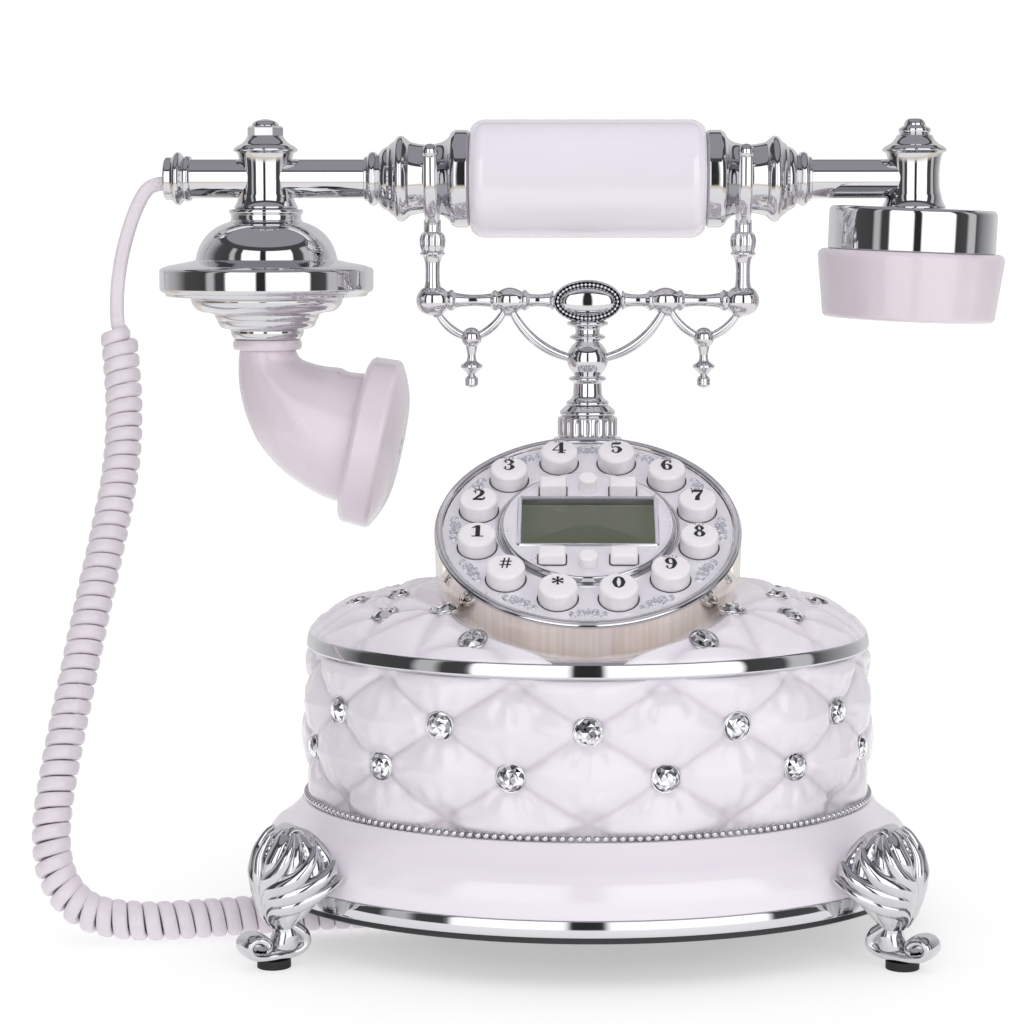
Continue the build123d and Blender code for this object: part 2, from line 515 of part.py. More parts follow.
def half_bar():
    """Right half of the crossbar: waisted bars between the middle and the end ball."""
    start, neck = MEDAL_W / 2 - 2, 2.3
    mid_in, end_in = sqrt(MID_R ** 2 - neck ** 2), sqrt(END_R ** 2 - neck ** 2)
    inner = [(2.6, start), (2.6, MID_X - MID_R - 3), (1.6, MID_X - MID_R - 2.2), (neck, MID_X - mid_in),
             (neck, MID_X + mid_in, MID_R - neck), (1.6, MID_X + MID_R + 2.2), (2.4, MID_X + MID_R + 3.4),
             (2.4, END_X - END_R - 3.4, -0.5), (1.7, END_X - END_R - 2.2), (neck, END_X - end_in),
             (neck, END_X + end_in, END_R - neck), (1.4, END_X + END_R + 1.2)]
    return Plane(origin=(0, STEM_Y, BAR_Z), x_dir=(0, 1, 0), z_dir=(1, 0, 0)) * turned(inner)


def right_fork():
    """Column on the end ball, its capital, and the two prongs of the saddle."""
    inner = WAIST_R + SADDLE_FIT
    outer = inner + PRONG_THICK
    saddle_low = HAND_Z - outer
    column = turned([(2.4, BAR_Z + END_R - 1), (2.4, BAR_Z + 7), (1.7, BAR_Z + 9, -0.1), (3.3, BAR_Z + 12),
                     (3.3, BAR_Z + 13.4, 0.5), (2.2, BAR_Z + 14.2), (4.0, BAR_Z + 17), (4.0, BAR_Z + 19, 0.4),
                     (2.7, BAR_Z + 20.4), (2.7, saddle_low + 1)])
    ring = Circle(outer) - Circle(inner) - Pos(0, outer) * Rectangle(3 * outer, 2 * outer)
    arms = Pos((inner + outer) / 2, (PRONG_TOP - HAND_Z) / 2) * Rectangle(PRONG_THICK, PRONG_TOP - HAND_Z)
    section = ring + arms + mirror(arms, Plane.YZ)
    saddle = extrude(Plane(origin=(END_X, STEM_Y, HAND_Z), x_dir=(0, 1, 0), z_dir=(1, 0, 0)) * section,
                     PRONG_WIDE / 2, both=True)
    tips = [ball(2.5, END_X, STEM_Y + side * (inner + outer) / 2, PRONG_TOP) for side in (-1, 1)]
    groove = block((END_X - PRONG_WIDE, STEM_Y - inner, HAND_Z),
                   (END_X + PRONG_WIDE, STEM_Y + inner, HAND_Z + 20))
    return Pos(END_X, STEM_Y, 0) * column + saddle + tips - groove


def swag(start, end, sag, radius):
    """Thin bar hanging in an arc between two points of the cradle's plane."""
    low = ((start[0] + end[0]) / 2 + sag[0], (start[1] + end[1]) / 2 + sag[1])
    points = [(x, STEM_Y, z) for x, z in (start, low, end)]
    return tube_along(ThreePointArc(*points), radius)


def right_swags():
    """Two small swags that meet at a drop ball with its pendant, and the big swag to the stem."""
    drop = turned([(1.2, DROP_Z - 15), (2.0, DROP_Z - 13.6, 0.4), (1.0, DROP_Z - 11.4, 0.5),
                   (2.2, DROP_Z - 10),
                   (3.4, DROP_Z - 8.9), (3.4, DROP_Z - 8.2), (1.7, DROP_Z - 7), (1.3, DROP_Z - 5, -0.1),
                   (1.9, DROP_Z - 2)])
    small = swag((END_X - 1.5, BAR_Z - END_R + 0.6), (DROP_X, DROP_Z), (2.0, -2.6), SMALL_SWAG_R)
    small += swag((DROP_X, DROP_Z), (MID_X + 1.5, BAR_Z - MID_R + 0.6), (-2.0, -2.6), SMALL_SWAG_R)
    small += Pos(DROP_X, STEM_Y, 0) * drop + ball(DROP_R, DROP_X, STEM_Y, DROP_Z)
    big = swag((MID_X - 1.0, BAR_Z - MID_R + 0.6), (BALL_R - 0.6, BALL_Z + 0.6), (2.4, -3.6), BIG_SWAG_R)
    return small, big


def build_cradle():
    bar = half_bar()
    fork = right_fork() - bar
    small, big = right_swags()
    bar_all = bar + fork
    small = small - bar_all
    big = big - bar_all - PARTS["cradle_stem"]
    bar = bar - PARTS["medallion"] - PARTS["cradle_stem"]
    for name, pieces in (("cradle_bar", [bar]), ("cradle_forks", [fork]), ("cradle_swags", [small, big])):
        both = []
        for piece in pieces:
            largest = max(piece.solids(), key=lambda solid: solid.volume)
            both += [largest, mirror(largest, Plane.YZ)]
        PARTS[name] = Compound(both)


# ---------------------------------------------------------------- handset
def grip_collar():
    """Turned collar on one side of the grip: flange, waist for the saddle, bulb and rings."""
    start = GRIP_HALF + BORE_FIT
    waist_low, waist_high = END_X - PRONG_WIDE / 2 - 0.5, END_X + PRONG_WIDE / 2 + 0.5
    return turned([(14.2, start), (15.0, start + 0.8), (15.0, start + 4.2), (14.2, start + 5.0),
                   (12.4, start + 5.4), (12.4, waist_low - 1.2, -0.4), (WAIST_R, waist_low),
                   (WAIST_R, waist_high),
                   (11.2, waist_high + 1.0), (11.2, waist_high + 2.0), (8.2, waist_high + 13.2, 2.2),
                   (6.9, waist_high + 13.6), (7.8, waist_high + 14.4), (7.8, waist_high + 16.2, 0.5),
                   (6.8, waist_high + 16.8), (6.8, waist_high + 18.2)], TUBE_R + BORE_FIT)


def post_profile(x_foot):
    """Turned post that stands across the tube, from its foot to the finial's neck."""
    return [(POST_R + 1.4, x_foot), (POST_R + 1.4, x_foot + 1.4, 0.3), (POST_R - 0.6, x_foot + 2.2),
            (POST_R, HAND_Z - 6.2, -0.2), (POST_R, HAND_Z + 6.2), (POST_R - 0.8, HAND_Z + 7.4, -0.1),
            (POST_R + 1.1, HAND_Z + 8.2), (POST_R + 1.1, HAND_Z + 9.6, 0.4), (POST_R - 1.0, HAND_Z + 10.4),
            (5.2, HAND_Z + 13.2, 0.6)]


def build_posts():
    hole = HAND * rod(TUBE_R + BORE_FIT, TAIL_X, EAR_X + 5)
    neck = HAND_Z + 13.2
    hexagon = Pos(0, 0, neck) * extrude(RegularPolygon(4.75, 6, major_radius=False), 2.9)
    mouth = turned(post_profile(POST_FOOT)) + hexagon + turned([(4.3, neck + 2.9), (0.4, neck + 5.1, 0.9)])
    PARTS["mouth_post"] = Pos(MOUTH_X, STEM_Y, 0) * mouth - hole
    ear = turned(post_profile(POST_FOOT - 1) + [(4.4, neck + 0.6), (4.8, neck + 2.2, 0.3), (3.4, neck + 3.0),
                                               (0.4, neck + 5.1, 1.0)])
    PARTS["ear_post"] = Pos(EAR_X, STEM_Y, 0) * ear - hole - PARTS["ear_housing"]


def elbow_body(shrink):
    """Horn from the bell's foot to the cap: round sections that swell as the path turns."""
    seam = (CAP_X - 6.6 * cos(radians(CAP_DIP)), CAP_Z + 6.6 * sin(radians(CAP_DIP)))
    # middle (x, z), radius and how far the section faces below level
    stations = [(MOUTH_X, ELBOW_TOP - 3.1, 8.6, 90.0), (MOUTH_X + 0.5, ELBOW_TOP - 7.0, 9.6, 84.0),
                (MOUTH_X + 2.4, ELBOW_TOP - 11.2, 11.8, 71.0), (MOUTH_X + 4.9, ELBOW_TOP - 15.6, 14.0, 58.0),
                (MOUTH_X + 8.4, ELBOW_TOP - 20.4, 16.4, 44.0), (MOUTH_X + 13.6, ELBOW_TOP - 25.0, 18.4, 29.0),
                (seam[0], seam[1], 19.7, CAP_DIP), (CAP_X, CAP_Z, 20.6, CAP_DIP)]
    sections = []
    for x, z, radius, dip in stations:
        way = (cos(radians(dip)), 0, -sin(radians(dip)))
        sections.append(Plane(origin=(x, STEM_Y, z), x_dir=(0, 1, 0), z_dir=way) * Circle(radius - shrink))
    return loft(sections)


def build_mouth():
    z = ELBOW_TOP
    bell = turned([(11.3, z), (11.3, z + 3.4, 0.3), (12.5, z + 3.4), (16.0, z + 4.6, 0.3), (16.0, z + 7.6),
                   (18.2, z + 8.4), (23.5, z + 9.4, 0.3), (23.5, z + 12.2), (24.6, z + 12.8),
                   (31.6, z + 13.4),
                   (33.0, z + 15.2, 0.4), (33.0, z + 20.4), (31.4, z + 22.0, 0.4), (22.6, z + 22.6),
                   (22.6, z + 24.4), (21.75, z + 25.0), (11.0, z + 36.4, 3.4), (11.2, z + 36.8),
                   (11.2, z + 40.2, 0.8), (9.4, POST_FOOT)])
    bell -= turned([(6.0, z - 1), (6.0, z + 8.0), (20.0, z + 12.0), (28.0, z + 16.0), (28.0, z + 19.0),
                    (18.4, z + 22.6), (16.5, z + 28.0), (9.0, z + 33.0)])
    PARTS["mouth_bell"] = Pos(MOUTH_X, STEM_Y, 0) * bell
    ring = turned([(10.2, z - 3.1), (10.2, z, 0.5)])
    horn = elbow_body(0) - elbow_body(ELBOW_WALL)
    PARTS["mouth_elbow"] = Pos(MOUTH_X, STEM_Y, 0) * ring + horn

    cap_place = Plane(origin=(CAP_X, STEM_Y, CAP_Z), x_dir=(0, 1, 0),
                      z_dir=(cos(radians(CAP_DIP)), 0, -sin(radians(CAP_DIP))))
    cap = turned([(CAP_R - 2.2, 0), (CAP_R - 0.4, 1.6, 0.3), (CAP_R, CAP_THICK - 2),
                  (CAP_R - 1.6, CAP_THICK, 0.3),
                  (4.0, CAP_THICK + CAP_CROWN, 2.0)])
    cap -= rod(CAP_R - 6, -1, CAP_THICK - 1)
    cap += (rod(MIC_R + 1.6, CAP_THICK - 3.4, CAP_THICK + 0.6)
            - rod(MIC_R + CLEAR, CAP_THICK - 4, CAP_THICK - 1))
    cap += turned([(CAP_R - 2.4, 0), (CAP_R - 2.4, 2.4)], 18.0)
    for hole in [Pos(0, 0)] + list(PolarLocations(3.4, 6)):
        cap -= hole * rod(SOUND_HOLE_R, CAP_THICK - 2, CAP_THICK + CAP_CROWN + 1)
    PARTS["mouth_cap"] = cap_place * cap
    PARTS["microphone"] = cap_place * rod(MIC_R, CAP_THICK - 1 - MIC_HIGH, CAP_THICK - 1 - CLEAR)




def build_ear():
    place = Pos(EAR_X, STEM_Y, EAR_TOP) * Rot(0, EAR_TILT, 0)
    drum = turned([(EAR_DRUM_R, -EAR_DRUM_HIGH), (EAR_DRUM_R, -1.6), (EAR_DRUM_R - 1.6, 0, 0.5)])
    drum -= rod(EAR_DRUM_R - WALL, -EAR_DRUM_HIGH - 1, -WALL)
    PARTS["ear_housing"] = place * drum
    top, low = -EAR_DRUM_HIGH, -EAR_DRUM_HIGH - EAR_CAP_HIGH
    cap = turned([(EAR_CAP_MOUTH_R - 1.5, low), (EAR_CAP_MOUTH_R, low + 1.5, 0.4), (EAR_CAP_R, top - 2.5),
                  (EAR_CAP_R - 1.4, top, 0.5)])
    cap -= rod(EAR_CAP_MOUTH_R - 4, low + EAR_DISH + WALL, top + 1)
    cap -= turned([(EAR_CAP_MOUTH_R - 4, low - 1), (EAR_CAP_MOUTH_R - 4, low), (3.0, low + EAR_DISH)])
    for hole in [Pos(0, 0)] + list(PolarLocations(5.0, 6)) + list(PolarLocations(9.6, 12)):
        cap -= hole * rod(SOUND_HOLE_R, low - 1, low + EAR_DISH + WALL + 1)
    floor = low + EAR_DISH + WALL
    cap += rod(RECEIVER_R + 1.8, floor - 0.5, floor + 3) - rod(RECEIVER_R + CLEAR, floor, floor + 4)
    PARTS["ear_cap"] = place * cap
    PARTS["receiver"] = place * turned([(RECEIVER_R, floor), (RECEIVER_R, floor + RECEIVER_HIGH - 2),
                                        (RECEIVER_R - 4, floor + RECEIVER_HIGH)])


def build_handset():
    tube = rod(TUBE_R, TAIL_X + 4, EAR_X + 4) - rod(TUBE_R - TUBE_WALL, TAIL_X, EAR_X + 5)
    PARTS["handset_tube"] = HAND * tube
    grip = rod(GRIP_R, -GRIP_HALF, GRIP_HALF)
    grip = fillet(grip.edges(), GRIP_EDGE) - rod(TUBE_R + BORE_FIT, -GRIP_HALF - 1, GRIP_HALF + 1)
    PARTS["grip_sleeve"] = HAND * grip
    collar = grip_collar()
    PARTS["grip_collars"] = Compound([HAND * collar, HAND * mirror(collar, Plane.XY)])
    end = -TAIL_X
    tail = turned([(6.6, end - 8.2), (7.0, end - 7.6), (7.0, end - 6.6), (6.5, end - 6.0), (7.5, end - 5.2),
                   (7.5, end - 3.0, 0.7), (6.6, end - 2.4), (6.6, end - 1.0), (5.8, end, 0.3)])
    tail -= rod(TUBE_R + BORE_FIT, end - 9, end - 4 + CLEAR)
    PARTS["tail_cap"] = HAND * mirror(tail, Plane.XY)
    build_ear()
    build_posts()
    build_mouth()


# ---------------------------------------------------------------- cord
def route_path(points, name):
    """Straight runs joined by arcs as large as each corner's two runs allow."""
    spots = [Vector(*p) for p in points]
    radii = []
    for a, b, c in zip(spots, spots[1:], spots[2:]):
        turn = radians((b - a).get_angle(c - b))
        radii.append(0.45 * min((b - a).length, (c - b).length) / tan(turn / 2))
    print(name, "arc radii", [round(r, 1) for r in radii])
    return FilletPolyline(*spots, radius=radii)


def biarc(start, way, end, way_end):
    """Two arcs that leave start along way and reach end along way_end, meeting smoothly."""
    gap, both = end - start, way + way_end
    a, b, c = both.dot(both) - 4, -2 * gap.dot(both), gap.dot(gap)
    reach = (-b - sqrt(b * b - 4 * a * c)) / (2 * a)
    middle = (start + way * reach + end - way_end * reach) / 2
    first = Edge.make_tangent_arc(start, way, middle)
    return [first, Edge.make_tangent_arc(middle, first % 1, end)]


def coil_axis():
    """Even samples of the coil's centre line, each with its direction and a side direction."""
    path = route_path(COIL_ROUTE, "coil")
    steps = 4 * round(path.length / COIL_PITCH * 2)
    side = Vector(-1, 0, 0)
    samples = []
    for i in range(steps + 1):
        spot = path.position_at(i / steps, position_mode=PositionMode.PARAMETER)
        way = path.tangent_at(i / steps, position_mode=PositionMode.PARAMETER)
        side = (side - way * side.dot(way)).normalized()
        samples.append((spot, way, side))
    return samples, path.length


def coil_strand():
    """Centre line of the curly cord: straight ends and one helix of biarcs, each a half turn."""
    samples, length = coil_axis()
    turns = round(length / COIL_PITCH)
    spots, ways = [], []
    for i in range(2 * turns + 1):
        where = i / (2 * turns) * (len(samples) - 1)
        low = min(int(where), len(samples) - 2)
        share = where - low
        (a, way, side), (b, _, _) = samples[low], samples[low + 1]
        centre = a + (b - a) * share
        angle = pi * i
        across = way.cross(side)
        out = side * cos(angle) + across * sin(angle)
        around = across * cos(angle) - side * sin(angle)
        spots.append(centre + out * COIL_R)
        ways.append((around * (2 * pi * COIL_R) + way * (length / turns)).normalized())
    lead_end = Vector(*LEAD_ROUTE[-1])
    lead_way = (lead_end - Vector(*LEAD_ROUTE[-2])).normalized()
    tail_start, tail_way = tail_points()
    first = lead_end + lead_way * STRAIGHT_END
    last = tail_start - tail_way * STRAIGHT_END
    spots = spots[1:-1]
    ways = ways[1:-1]
    edges = [Line(lead_end, first).edge()] + biarc(first, lead_way, spots[0], ways[0])
    for a, b, c, d in zip(spots, ways, spots[1:], ways[1:]):
        edges += biarc(a, b, c, d)
    edges += biarc(spots[-1], ways[-1], last, tail_way) + [Line(last, tail_start).edge()]
    return edges


def tail_points():
    """Where the coil's straight end meets the tail, and the way it points."""
    end, before = Vector(*COIL_ROUTE[-1]), Vector(*COIL_ROUTE[-2])
    way = (end - before).normalized()
    return end + way * TAIL_OUT, way


def strand_gap(edges):
    """Least gap between the strand's turns, on points along its centre line."""
    points, along, walked = [], [], 0.0
    for edge in edges:
        for i in range(3):
            points.append(tuple(edge.position_at(i / 3)))
            along.append(walked + edge.length * i / 3)
        walked += edge.length
    least = 1e9
    apart = 2.5 * COIL_R
    for i, (p, s) in enumerate(zip(points, along)):
        for j in range(i + 1, min(i + 24, len(points))):
            if along[j] - s > apart:
                q = points[j]
                d = sqrt(sum((m - n) ** 2 for m, n in zip(p, q)))
                least = min(least, d - 2 * CORD_R)
    return least, walked


def build_cord():
    lead = route_path(LEAD_ROUTE, "lead")
    PARTS["cord_lead"] = tube_along(lead, CORD_R)
    edges = coil_strand()
    gap, length = strand_gap(edges)
    print("curly cord: strand", round(length, 1), "mm, least gap between turns", round(gap, 2), "mm")
    strand = Wire(edges)
    PARTS["cord_coil"] = tube_along(strand, CORD_R)
    tail_start, tail_way = tail_points()
    plug_back = (PLUG_X, PLUG_Y, PLUG_Z)
    tail_turn = tail_start + tail_way * TAIL_RUN
    tail = route_path([tuple(tail_start), tuple(tail_turn), *TAIL_ROUTE_MIDDLE, plug_back], "tail")
    PARTS["cord_tail"] = tube_along(tail, CORD_R)
    for name, path in (("lead", lead), ("coil", strand), ("tail", tail)):
        volume = PARTS[f"cord_{name}"].volume
        print(f"cord {name}: length {path.length:.1f}, volume over section x length "
              f"{volume / (path.length * pi * CORD_R ** 2):.4f}")
    half_w, half_h = PLUG_WIDE / 2, PLUG_HIGH / 2
    plug = block((PLUG_X, PLUG_Y - half_w, PLUG_Z - half_h),
                 (PLUG_X + PLUG_LONG, PLUG_Y + half_w, PLUG_Z + half_h))
    PARTS["cord_plug"] = plug


build_base()
build_feet()
build_inside()
build_dial()
build_stem()
build_cradle()
build_handset()
build_cord()
for name, piece in PARTS.items():
    export_step(piece, f"parts/{name}.step")
print(len(PARTS), "parts")
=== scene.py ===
import bmesh
import bpy
import numpy as np
from math import atan2, cos, pi, radians, sin, tan
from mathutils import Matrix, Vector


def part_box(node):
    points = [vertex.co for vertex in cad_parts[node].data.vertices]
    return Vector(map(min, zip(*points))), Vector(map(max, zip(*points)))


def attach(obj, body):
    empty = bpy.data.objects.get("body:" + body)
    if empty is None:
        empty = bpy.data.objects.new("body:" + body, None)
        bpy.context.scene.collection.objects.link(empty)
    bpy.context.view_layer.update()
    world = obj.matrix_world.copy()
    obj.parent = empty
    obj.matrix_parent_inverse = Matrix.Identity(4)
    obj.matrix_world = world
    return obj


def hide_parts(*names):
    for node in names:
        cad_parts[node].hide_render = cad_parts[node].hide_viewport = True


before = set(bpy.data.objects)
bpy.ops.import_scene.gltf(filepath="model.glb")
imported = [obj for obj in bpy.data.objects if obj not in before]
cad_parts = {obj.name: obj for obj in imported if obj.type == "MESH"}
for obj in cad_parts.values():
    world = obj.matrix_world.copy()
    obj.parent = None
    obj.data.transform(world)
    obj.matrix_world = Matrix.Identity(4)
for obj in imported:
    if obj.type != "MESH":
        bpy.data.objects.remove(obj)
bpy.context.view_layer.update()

# ---------------------------------------------------------------- base plate
# The tray that closes the underside: black moulded plastic with a fine spark-eroded grain, screwed up
# into the skirt.  Its node keeps the shape it was packed with, and only takes its finish here.


def socket_set(shader, **values):
    """Sets a shader's own sockets; an underscore in a name stands for a space."""
    for name, value in values.items():
        shader.inputs[name.replace("_", " ")].default_value = value


def ramp(nodes, *stops):
    """A colour ramp through the given places and colours."""
    node = nodes.new("ShaderNodeValToRGB")
    while len(node.color_ramp.elements) < len(stops):
        node.color_ramp.elements.new(0.5)
    for stop, (place, colour) in zip(node.color_ramp.elements, stops):
        stop.position, stop.color = place, (*colour, 1)
    return node


def finish(name, tint, rough, metal=0.0, mottle=0.0, mottle_size=0.02, grain=0.0, grain_size=0.0008,
           rough_spread=0.0, **more):
    """A moulded, plated or cast finish: the colour drifts between two near tints, the roughness wanders
    with wear, and a fine bump gives the grain.  Sizes are in metres on the object's own coordinates."""
    material = bpy.data.materials.new(name)
    material.use_nodes = True
    nodes, link = material.node_tree.nodes, material.node_tree.links.new
    shader = nodes["Principled BSDF"]
    place = nodes.new("ShaderNodeTexCoord").outputs["Object"]
    drift = nodes.new("ShaderNodeTexNoise")
    socket_set(drift, Scale=1 / mottle_size, Detail=3.0, Roughness=0.55)
    link(place, drift.inputs["Vector"])
    colours = ramp(nodes, (0.32, tuple(c * (1 - mottle) for c in tint)), (0.68, tint))
    link(drift.outputs["Fac"], colours.inputs["Fac"])
    link(colours.outputs["Color"], shader.inputs["Base Color"])
    wear = nodes.new("ShaderNodeMapRange")
    socket_set(wear, From_Min=0.3, From_Max=0.7, To_Min=max(rough - rough_spread, 0.01),
               To_Max=rough + rough_spread)
    link(drift.outputs["Fac"], wear.inputs["Value"])
    link(wear.outputs["Result"], shader.inputs["Roughness"])
    socket_set(shader, Metallic=metal)
    if grain:
        speck = nodes.new("ShaderNodeTexNoise")
        socket_set(speck, Scale=1 / grain_size, Detail=2.0)
        link(place, speck.inputs["Vector"])
        bump = nodes.new("ShaderNodeBump")
        socket_set(bump, Strength=grain, Distance=0.0002)
        link(speck.outputs["Fac"], bump.inputs["Height"])
        link(bump.outputs["Normal"], shader.inputs["Normal"])
    socket_set(shader, **more)
    return material


black_plastic = finish("black_plastic", (0.022, 0.022, 0.024), 0.45, mottle=0.25, grain=0.5, rough_spread=0.08)


def repaint(node, material):
    """Gives a node of the frame its finish."""
    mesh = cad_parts[node].data
    mesh.materials.clear()
    mesh.materials.append(material)


for node in ("base_plate", "line_jack", "cord_jack", "hook_switch", "ringer", "microphone", "receiver"):
    repaint(node, black_plastic)

# ---------------------------------------------------------------- skirt
# The flared foot of the body: white ABS under a deep clear gloss.  It is one moulding, with a soft S
# from the bead line down to an upright edge; the window at the back for the line jack is not cut.

MM = 0.001
DEPTH = 0.77                       # every oval is this deep for its width


def middle(node):
    """Middle across and deep, and lowest height, of a node, in millimetres."""
    low, high = (np.array(corner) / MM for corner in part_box(node))
    return (low[0] + high[0]) / 2, (low[1] + high[1]) / 2, low[2]


def edge_line(points, ease=0.35, steps=9):
    """Profile through (radius, height) points.  A third number bows the side that ends there by a parabola
    of that height, to the right of its travel; every corner is eased by a quadratic curve of the given
    reach."""
    spots = [np.array(p[:2], float) for p in points]
    sides = []
    for (a, b, p) in zip(spots, spots[1:], points[1:]):
        t = np.linspace(0, 1, steps if len(p) == 3 else 2)[:, None]
        run = b - a
        out = np.array([run[1], -run[0]]) / max(np.hypot(*run), 1e-9)
        sides.append(a + run * t + out * 4 * (p[2] if len(p) == 3 else 0.0) * t * (1 - t))
    line = [sides[0][:1]]
    bend = np.linspace(0, 1, 5)[:, None]
    for k, side in enumerate(sides):
        start, end = side[0], side[-1]
        reach = [0.0, 0.0]
        if k > 0:
            reach[0] = min(ease, 0.4 * np.hypot(*(side[1] - side[0])))
        if k < len(sides) - 1:
            reach[1] = min(ease, 0.4 * np.hypot(*(side[-1] - side[-2])))
        first, last = side[1] - side[0], side[-1] - side[-2]
        inner = side[1:-1]
        begin = start + first / max(np.hypot(*first), 1e-9) * reach[0]
        finish_at = end - last / max(np.hypot(*last), 1e-9) * reach[1]
        line += [begin[None]] if k > 0 else []
        line += [inner, finish_at[None]]
        if k < len(sides) - 1:
            after = sides[k + 1]
            step = after[1] - after[0]
            away = end + step / max(np.hypot(*step), 1e-9) * min(ease, 0.4 * np.hypot(*step))
            line.append((1 - bend[1:-1]) ** 2 * finish_at + 2 * bend[1:-1] * (1 - bend[1:-1]) * end
                        + bend[1:-1] ** 2 * away)
    return np.concatenate(line)


def lattice(rows, columns):
    """Faces of a grid of points, one for each cell; its columns close on themselves."""
    number = np.arange(rows * columns).reshape(rows, columns)
    right = np.roll(number, -1, axis=1)
    return np.stack([number[:-1], right[:-1], right[1:], number[1:]], -1).reshape(-1, 4)


def shell(name, grid, material, body, slot, *hides, sharp=50.0, flat=False):
    """Puts a grid of points (rows, columns, xyz in millimetres) into a mesh: each cell is a face, doubled
    points at poles and seams are merged, and faces are turned outwards."""
    return solid(name, grid.reshape(-1, 3), lattice(*grid.shape[:2]).tolist(), material, body, slot, *hides,
                 sharp=sharp, flat=flat)


def solid(name, points, faces, material, body, slot, *hides, sharp=50.0, flat=False):
    """A mesh object from points in millimetres and faces, cleaned, smoothed and fixed to its body."""
    mesh = bpy.data.meshes.new(name)
    mesh.from_pydata((np.asarray(points) * MM).tolist(), [], faces)
    work = bmesh.new()
    work.from_mesh(mesh)
    bmesh.ops.remove_doubles(work, verts=work.verts, dist=2e-6)
    bmesh.ops.dissolve_degenerate(work, edges=work.edges, dist=1e-7)
    bmesh.ops.recalc_face_normals(work, faces=work.faces)
    work.to_mesh(mesh)
    work.free()
    mesh.polygons.foreach_set("use_smooth", [not flat] * len(mesh.polygons))
    if not flat:
        mesh.set_sharp_from_angle(angle=radians(sharp))
    mesh.materials.append(material)
    piece = bpy.data.objects.new(name, mesh)
    bpy.context.scene.collection.objects.link(piece)
    if body:
        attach(piece, body)
        if hides:
            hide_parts(*hides)
    return piece


def turns(count):
    """That many even turns round a circle, in radians."""
    return np.arange(count) * 2 * pi / count


def turn_round(line, around=96, deep=1.0, spot=(0.0, 0.0)):
    """Grid of a turned shape: the profile carried round Z, drawn in front to back, about a spot."""
    angle = turns(around)
    r, z = line[:, :1], line[:, 1:]
    return np.stack([spot[0] + r * np.cos(angle), spot[1] + r * np.sin(angle) * deep, z + 0 * angle], -1)


gloss_white = finish("gloss_white", (0.875, 0.82, 0.89), 0.16, mottle=0.03, mottle_size=0.05, rough_spread=0.04,
                     grain=0.03, grain_size=0.004, Coat_Weight=0.8, Coat_Roughness=0.06, Specular_IOR_Level=0.5)

rim_z = middle("skirt_rim")[2]
skirt_low = middle("base_skirt")[2]
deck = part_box("base_skirt")[1][2] / MM
SKIRT_HALF, DECK_HALF, SHELL_WALL = 97.6, 85.5, 2.5
skirt_line = edge_line([(SKIRT_HALF - SHELL_WALL, skirt_low), (SKIRT_HALF, skirt_low), (SKIRT_HALF, skirt_low + 3.5),
                        (DECK_HALF + 7.5, deck - 7, 1.3), (DECK_HALF, deck, -0.5), (DECK_HALF - 12, deck),
                        (DECK_HALF - 12, deck - SHELL_WALL), (DECK_HALF - 4, deck - SHELL_WALL),
                        (SKIRT_HALF - SHELL_WALL, deck - 12), (SKIRT_HALF - SHELL_WALL, skirt_low)], ease=0.8)
shell("skirt_shell", turn_round(skirt_line, 256, DEPTH), gloss_white, "base", "white_plastic", "base_skirt")

# ---------------------------------------------------------------- chrome band round the foot
# A rolled band of chrome-plated plastic, sprung over the skirt's lower edge and held by its lip.

chrome = finish("bright_chrome", (0.68, 0.68, 0.70), 0.045, metal=1.0, mottle=0.03, mottle_size=0.03,
                rough_spread=0.02, grain=0.02, grain_size=0.012)

RIM_HALF, RIM_WIDE = 98.2, 2.8
rim_line = edge_line([(RIM_HALF - RIM_WIDE, rim_z), (RIM_HALF - 0.1, rim_z), (RIM_HALF - 0.8, skirt_low, 0.12),
                      (RIM_HALF - RIM_WIDE, skirt_low), (RIM_HALF - RIM_WIDE, rim_z)], ease=0.9)
shell("foot_band", turn_round(rim_line, 256, DEPTH), chrome, "base", "chromed_plastic", "skirt_rim")

# ---------------------------------------------------------------- quilted drum
# The body's wall: pearl-white plastic moulded as buttoned quilting.  Full diamonds swell between two
# rows of tufts, the creases run on to the chrome bands, and small pleats draw in round each stone.

drum_low = deck
drum_top = middle("drum_rim")[2]
DRUM_HALF, DRUM_SWELL = 83.0, 1.8
TUFTS_ROUND = 12
ROW_LOW, ROW_HIGH = 56.0, 69.4
PUFF, PILLOW, CREASE_DROP = 2.9, 0.38, 1.3                   # swell, share of it that is pillow, crease's depth
BUTTON_DROP, BUTTON_WIDE = 1.3, 5.2
PLEATS, PLEAT_OUT, PLEAT_WIDE, PLEAT_RISE = 9, 8.5, 3.4, 0.24
EDGE_FADE, EDGE_SINK = 3.0, 0.6                              # the quilting dies out over this height, this deep
# painted shade: the pearl's colour is multiplied by this at the bottom of the creases
CREASE_PAINTED_SHADE = (0.83, 0.805, 0.84, 1)

pearl = finish("pearl_plastic", (0.855, 0.81, 0.87), 0.24, mottle=0.05, mottle_size=0.03, rough_spread=0.05,
               grain=0.05, grain_size=0.003, Coat_Weight=0.7, Coat_Roughness=0.12, Sheen_Weight=0.15,
               Sheen_Roughness=0.4)
# Painted shade in the creases: the fold mask darkens the pearl's base colour towards the tint above.
shade_nodes, shade_link = pearl.node_tree.nodes, pearl.node_tree.links.new
fold = shade_nodes.new("ShaderNodeAttribute")
fold.attribute_name = "fold"
shade = shade_nodes.new("ShaderNodeMixRGB")
shade.blend_type = "MULTIPLY"
shade.inputs[2].default_value = CREASE_PAINTED_SHADE
shade_base = shade_nodes["Principled BSDF"].inputs["Base Color"]
shade_link(shade_base.links[0].from_socket, shade.inputs[1])
shade_link(fold.outputs["Fac"], shade.inputs[0])
shade_link(shade.outputs["Color"], shade_base)


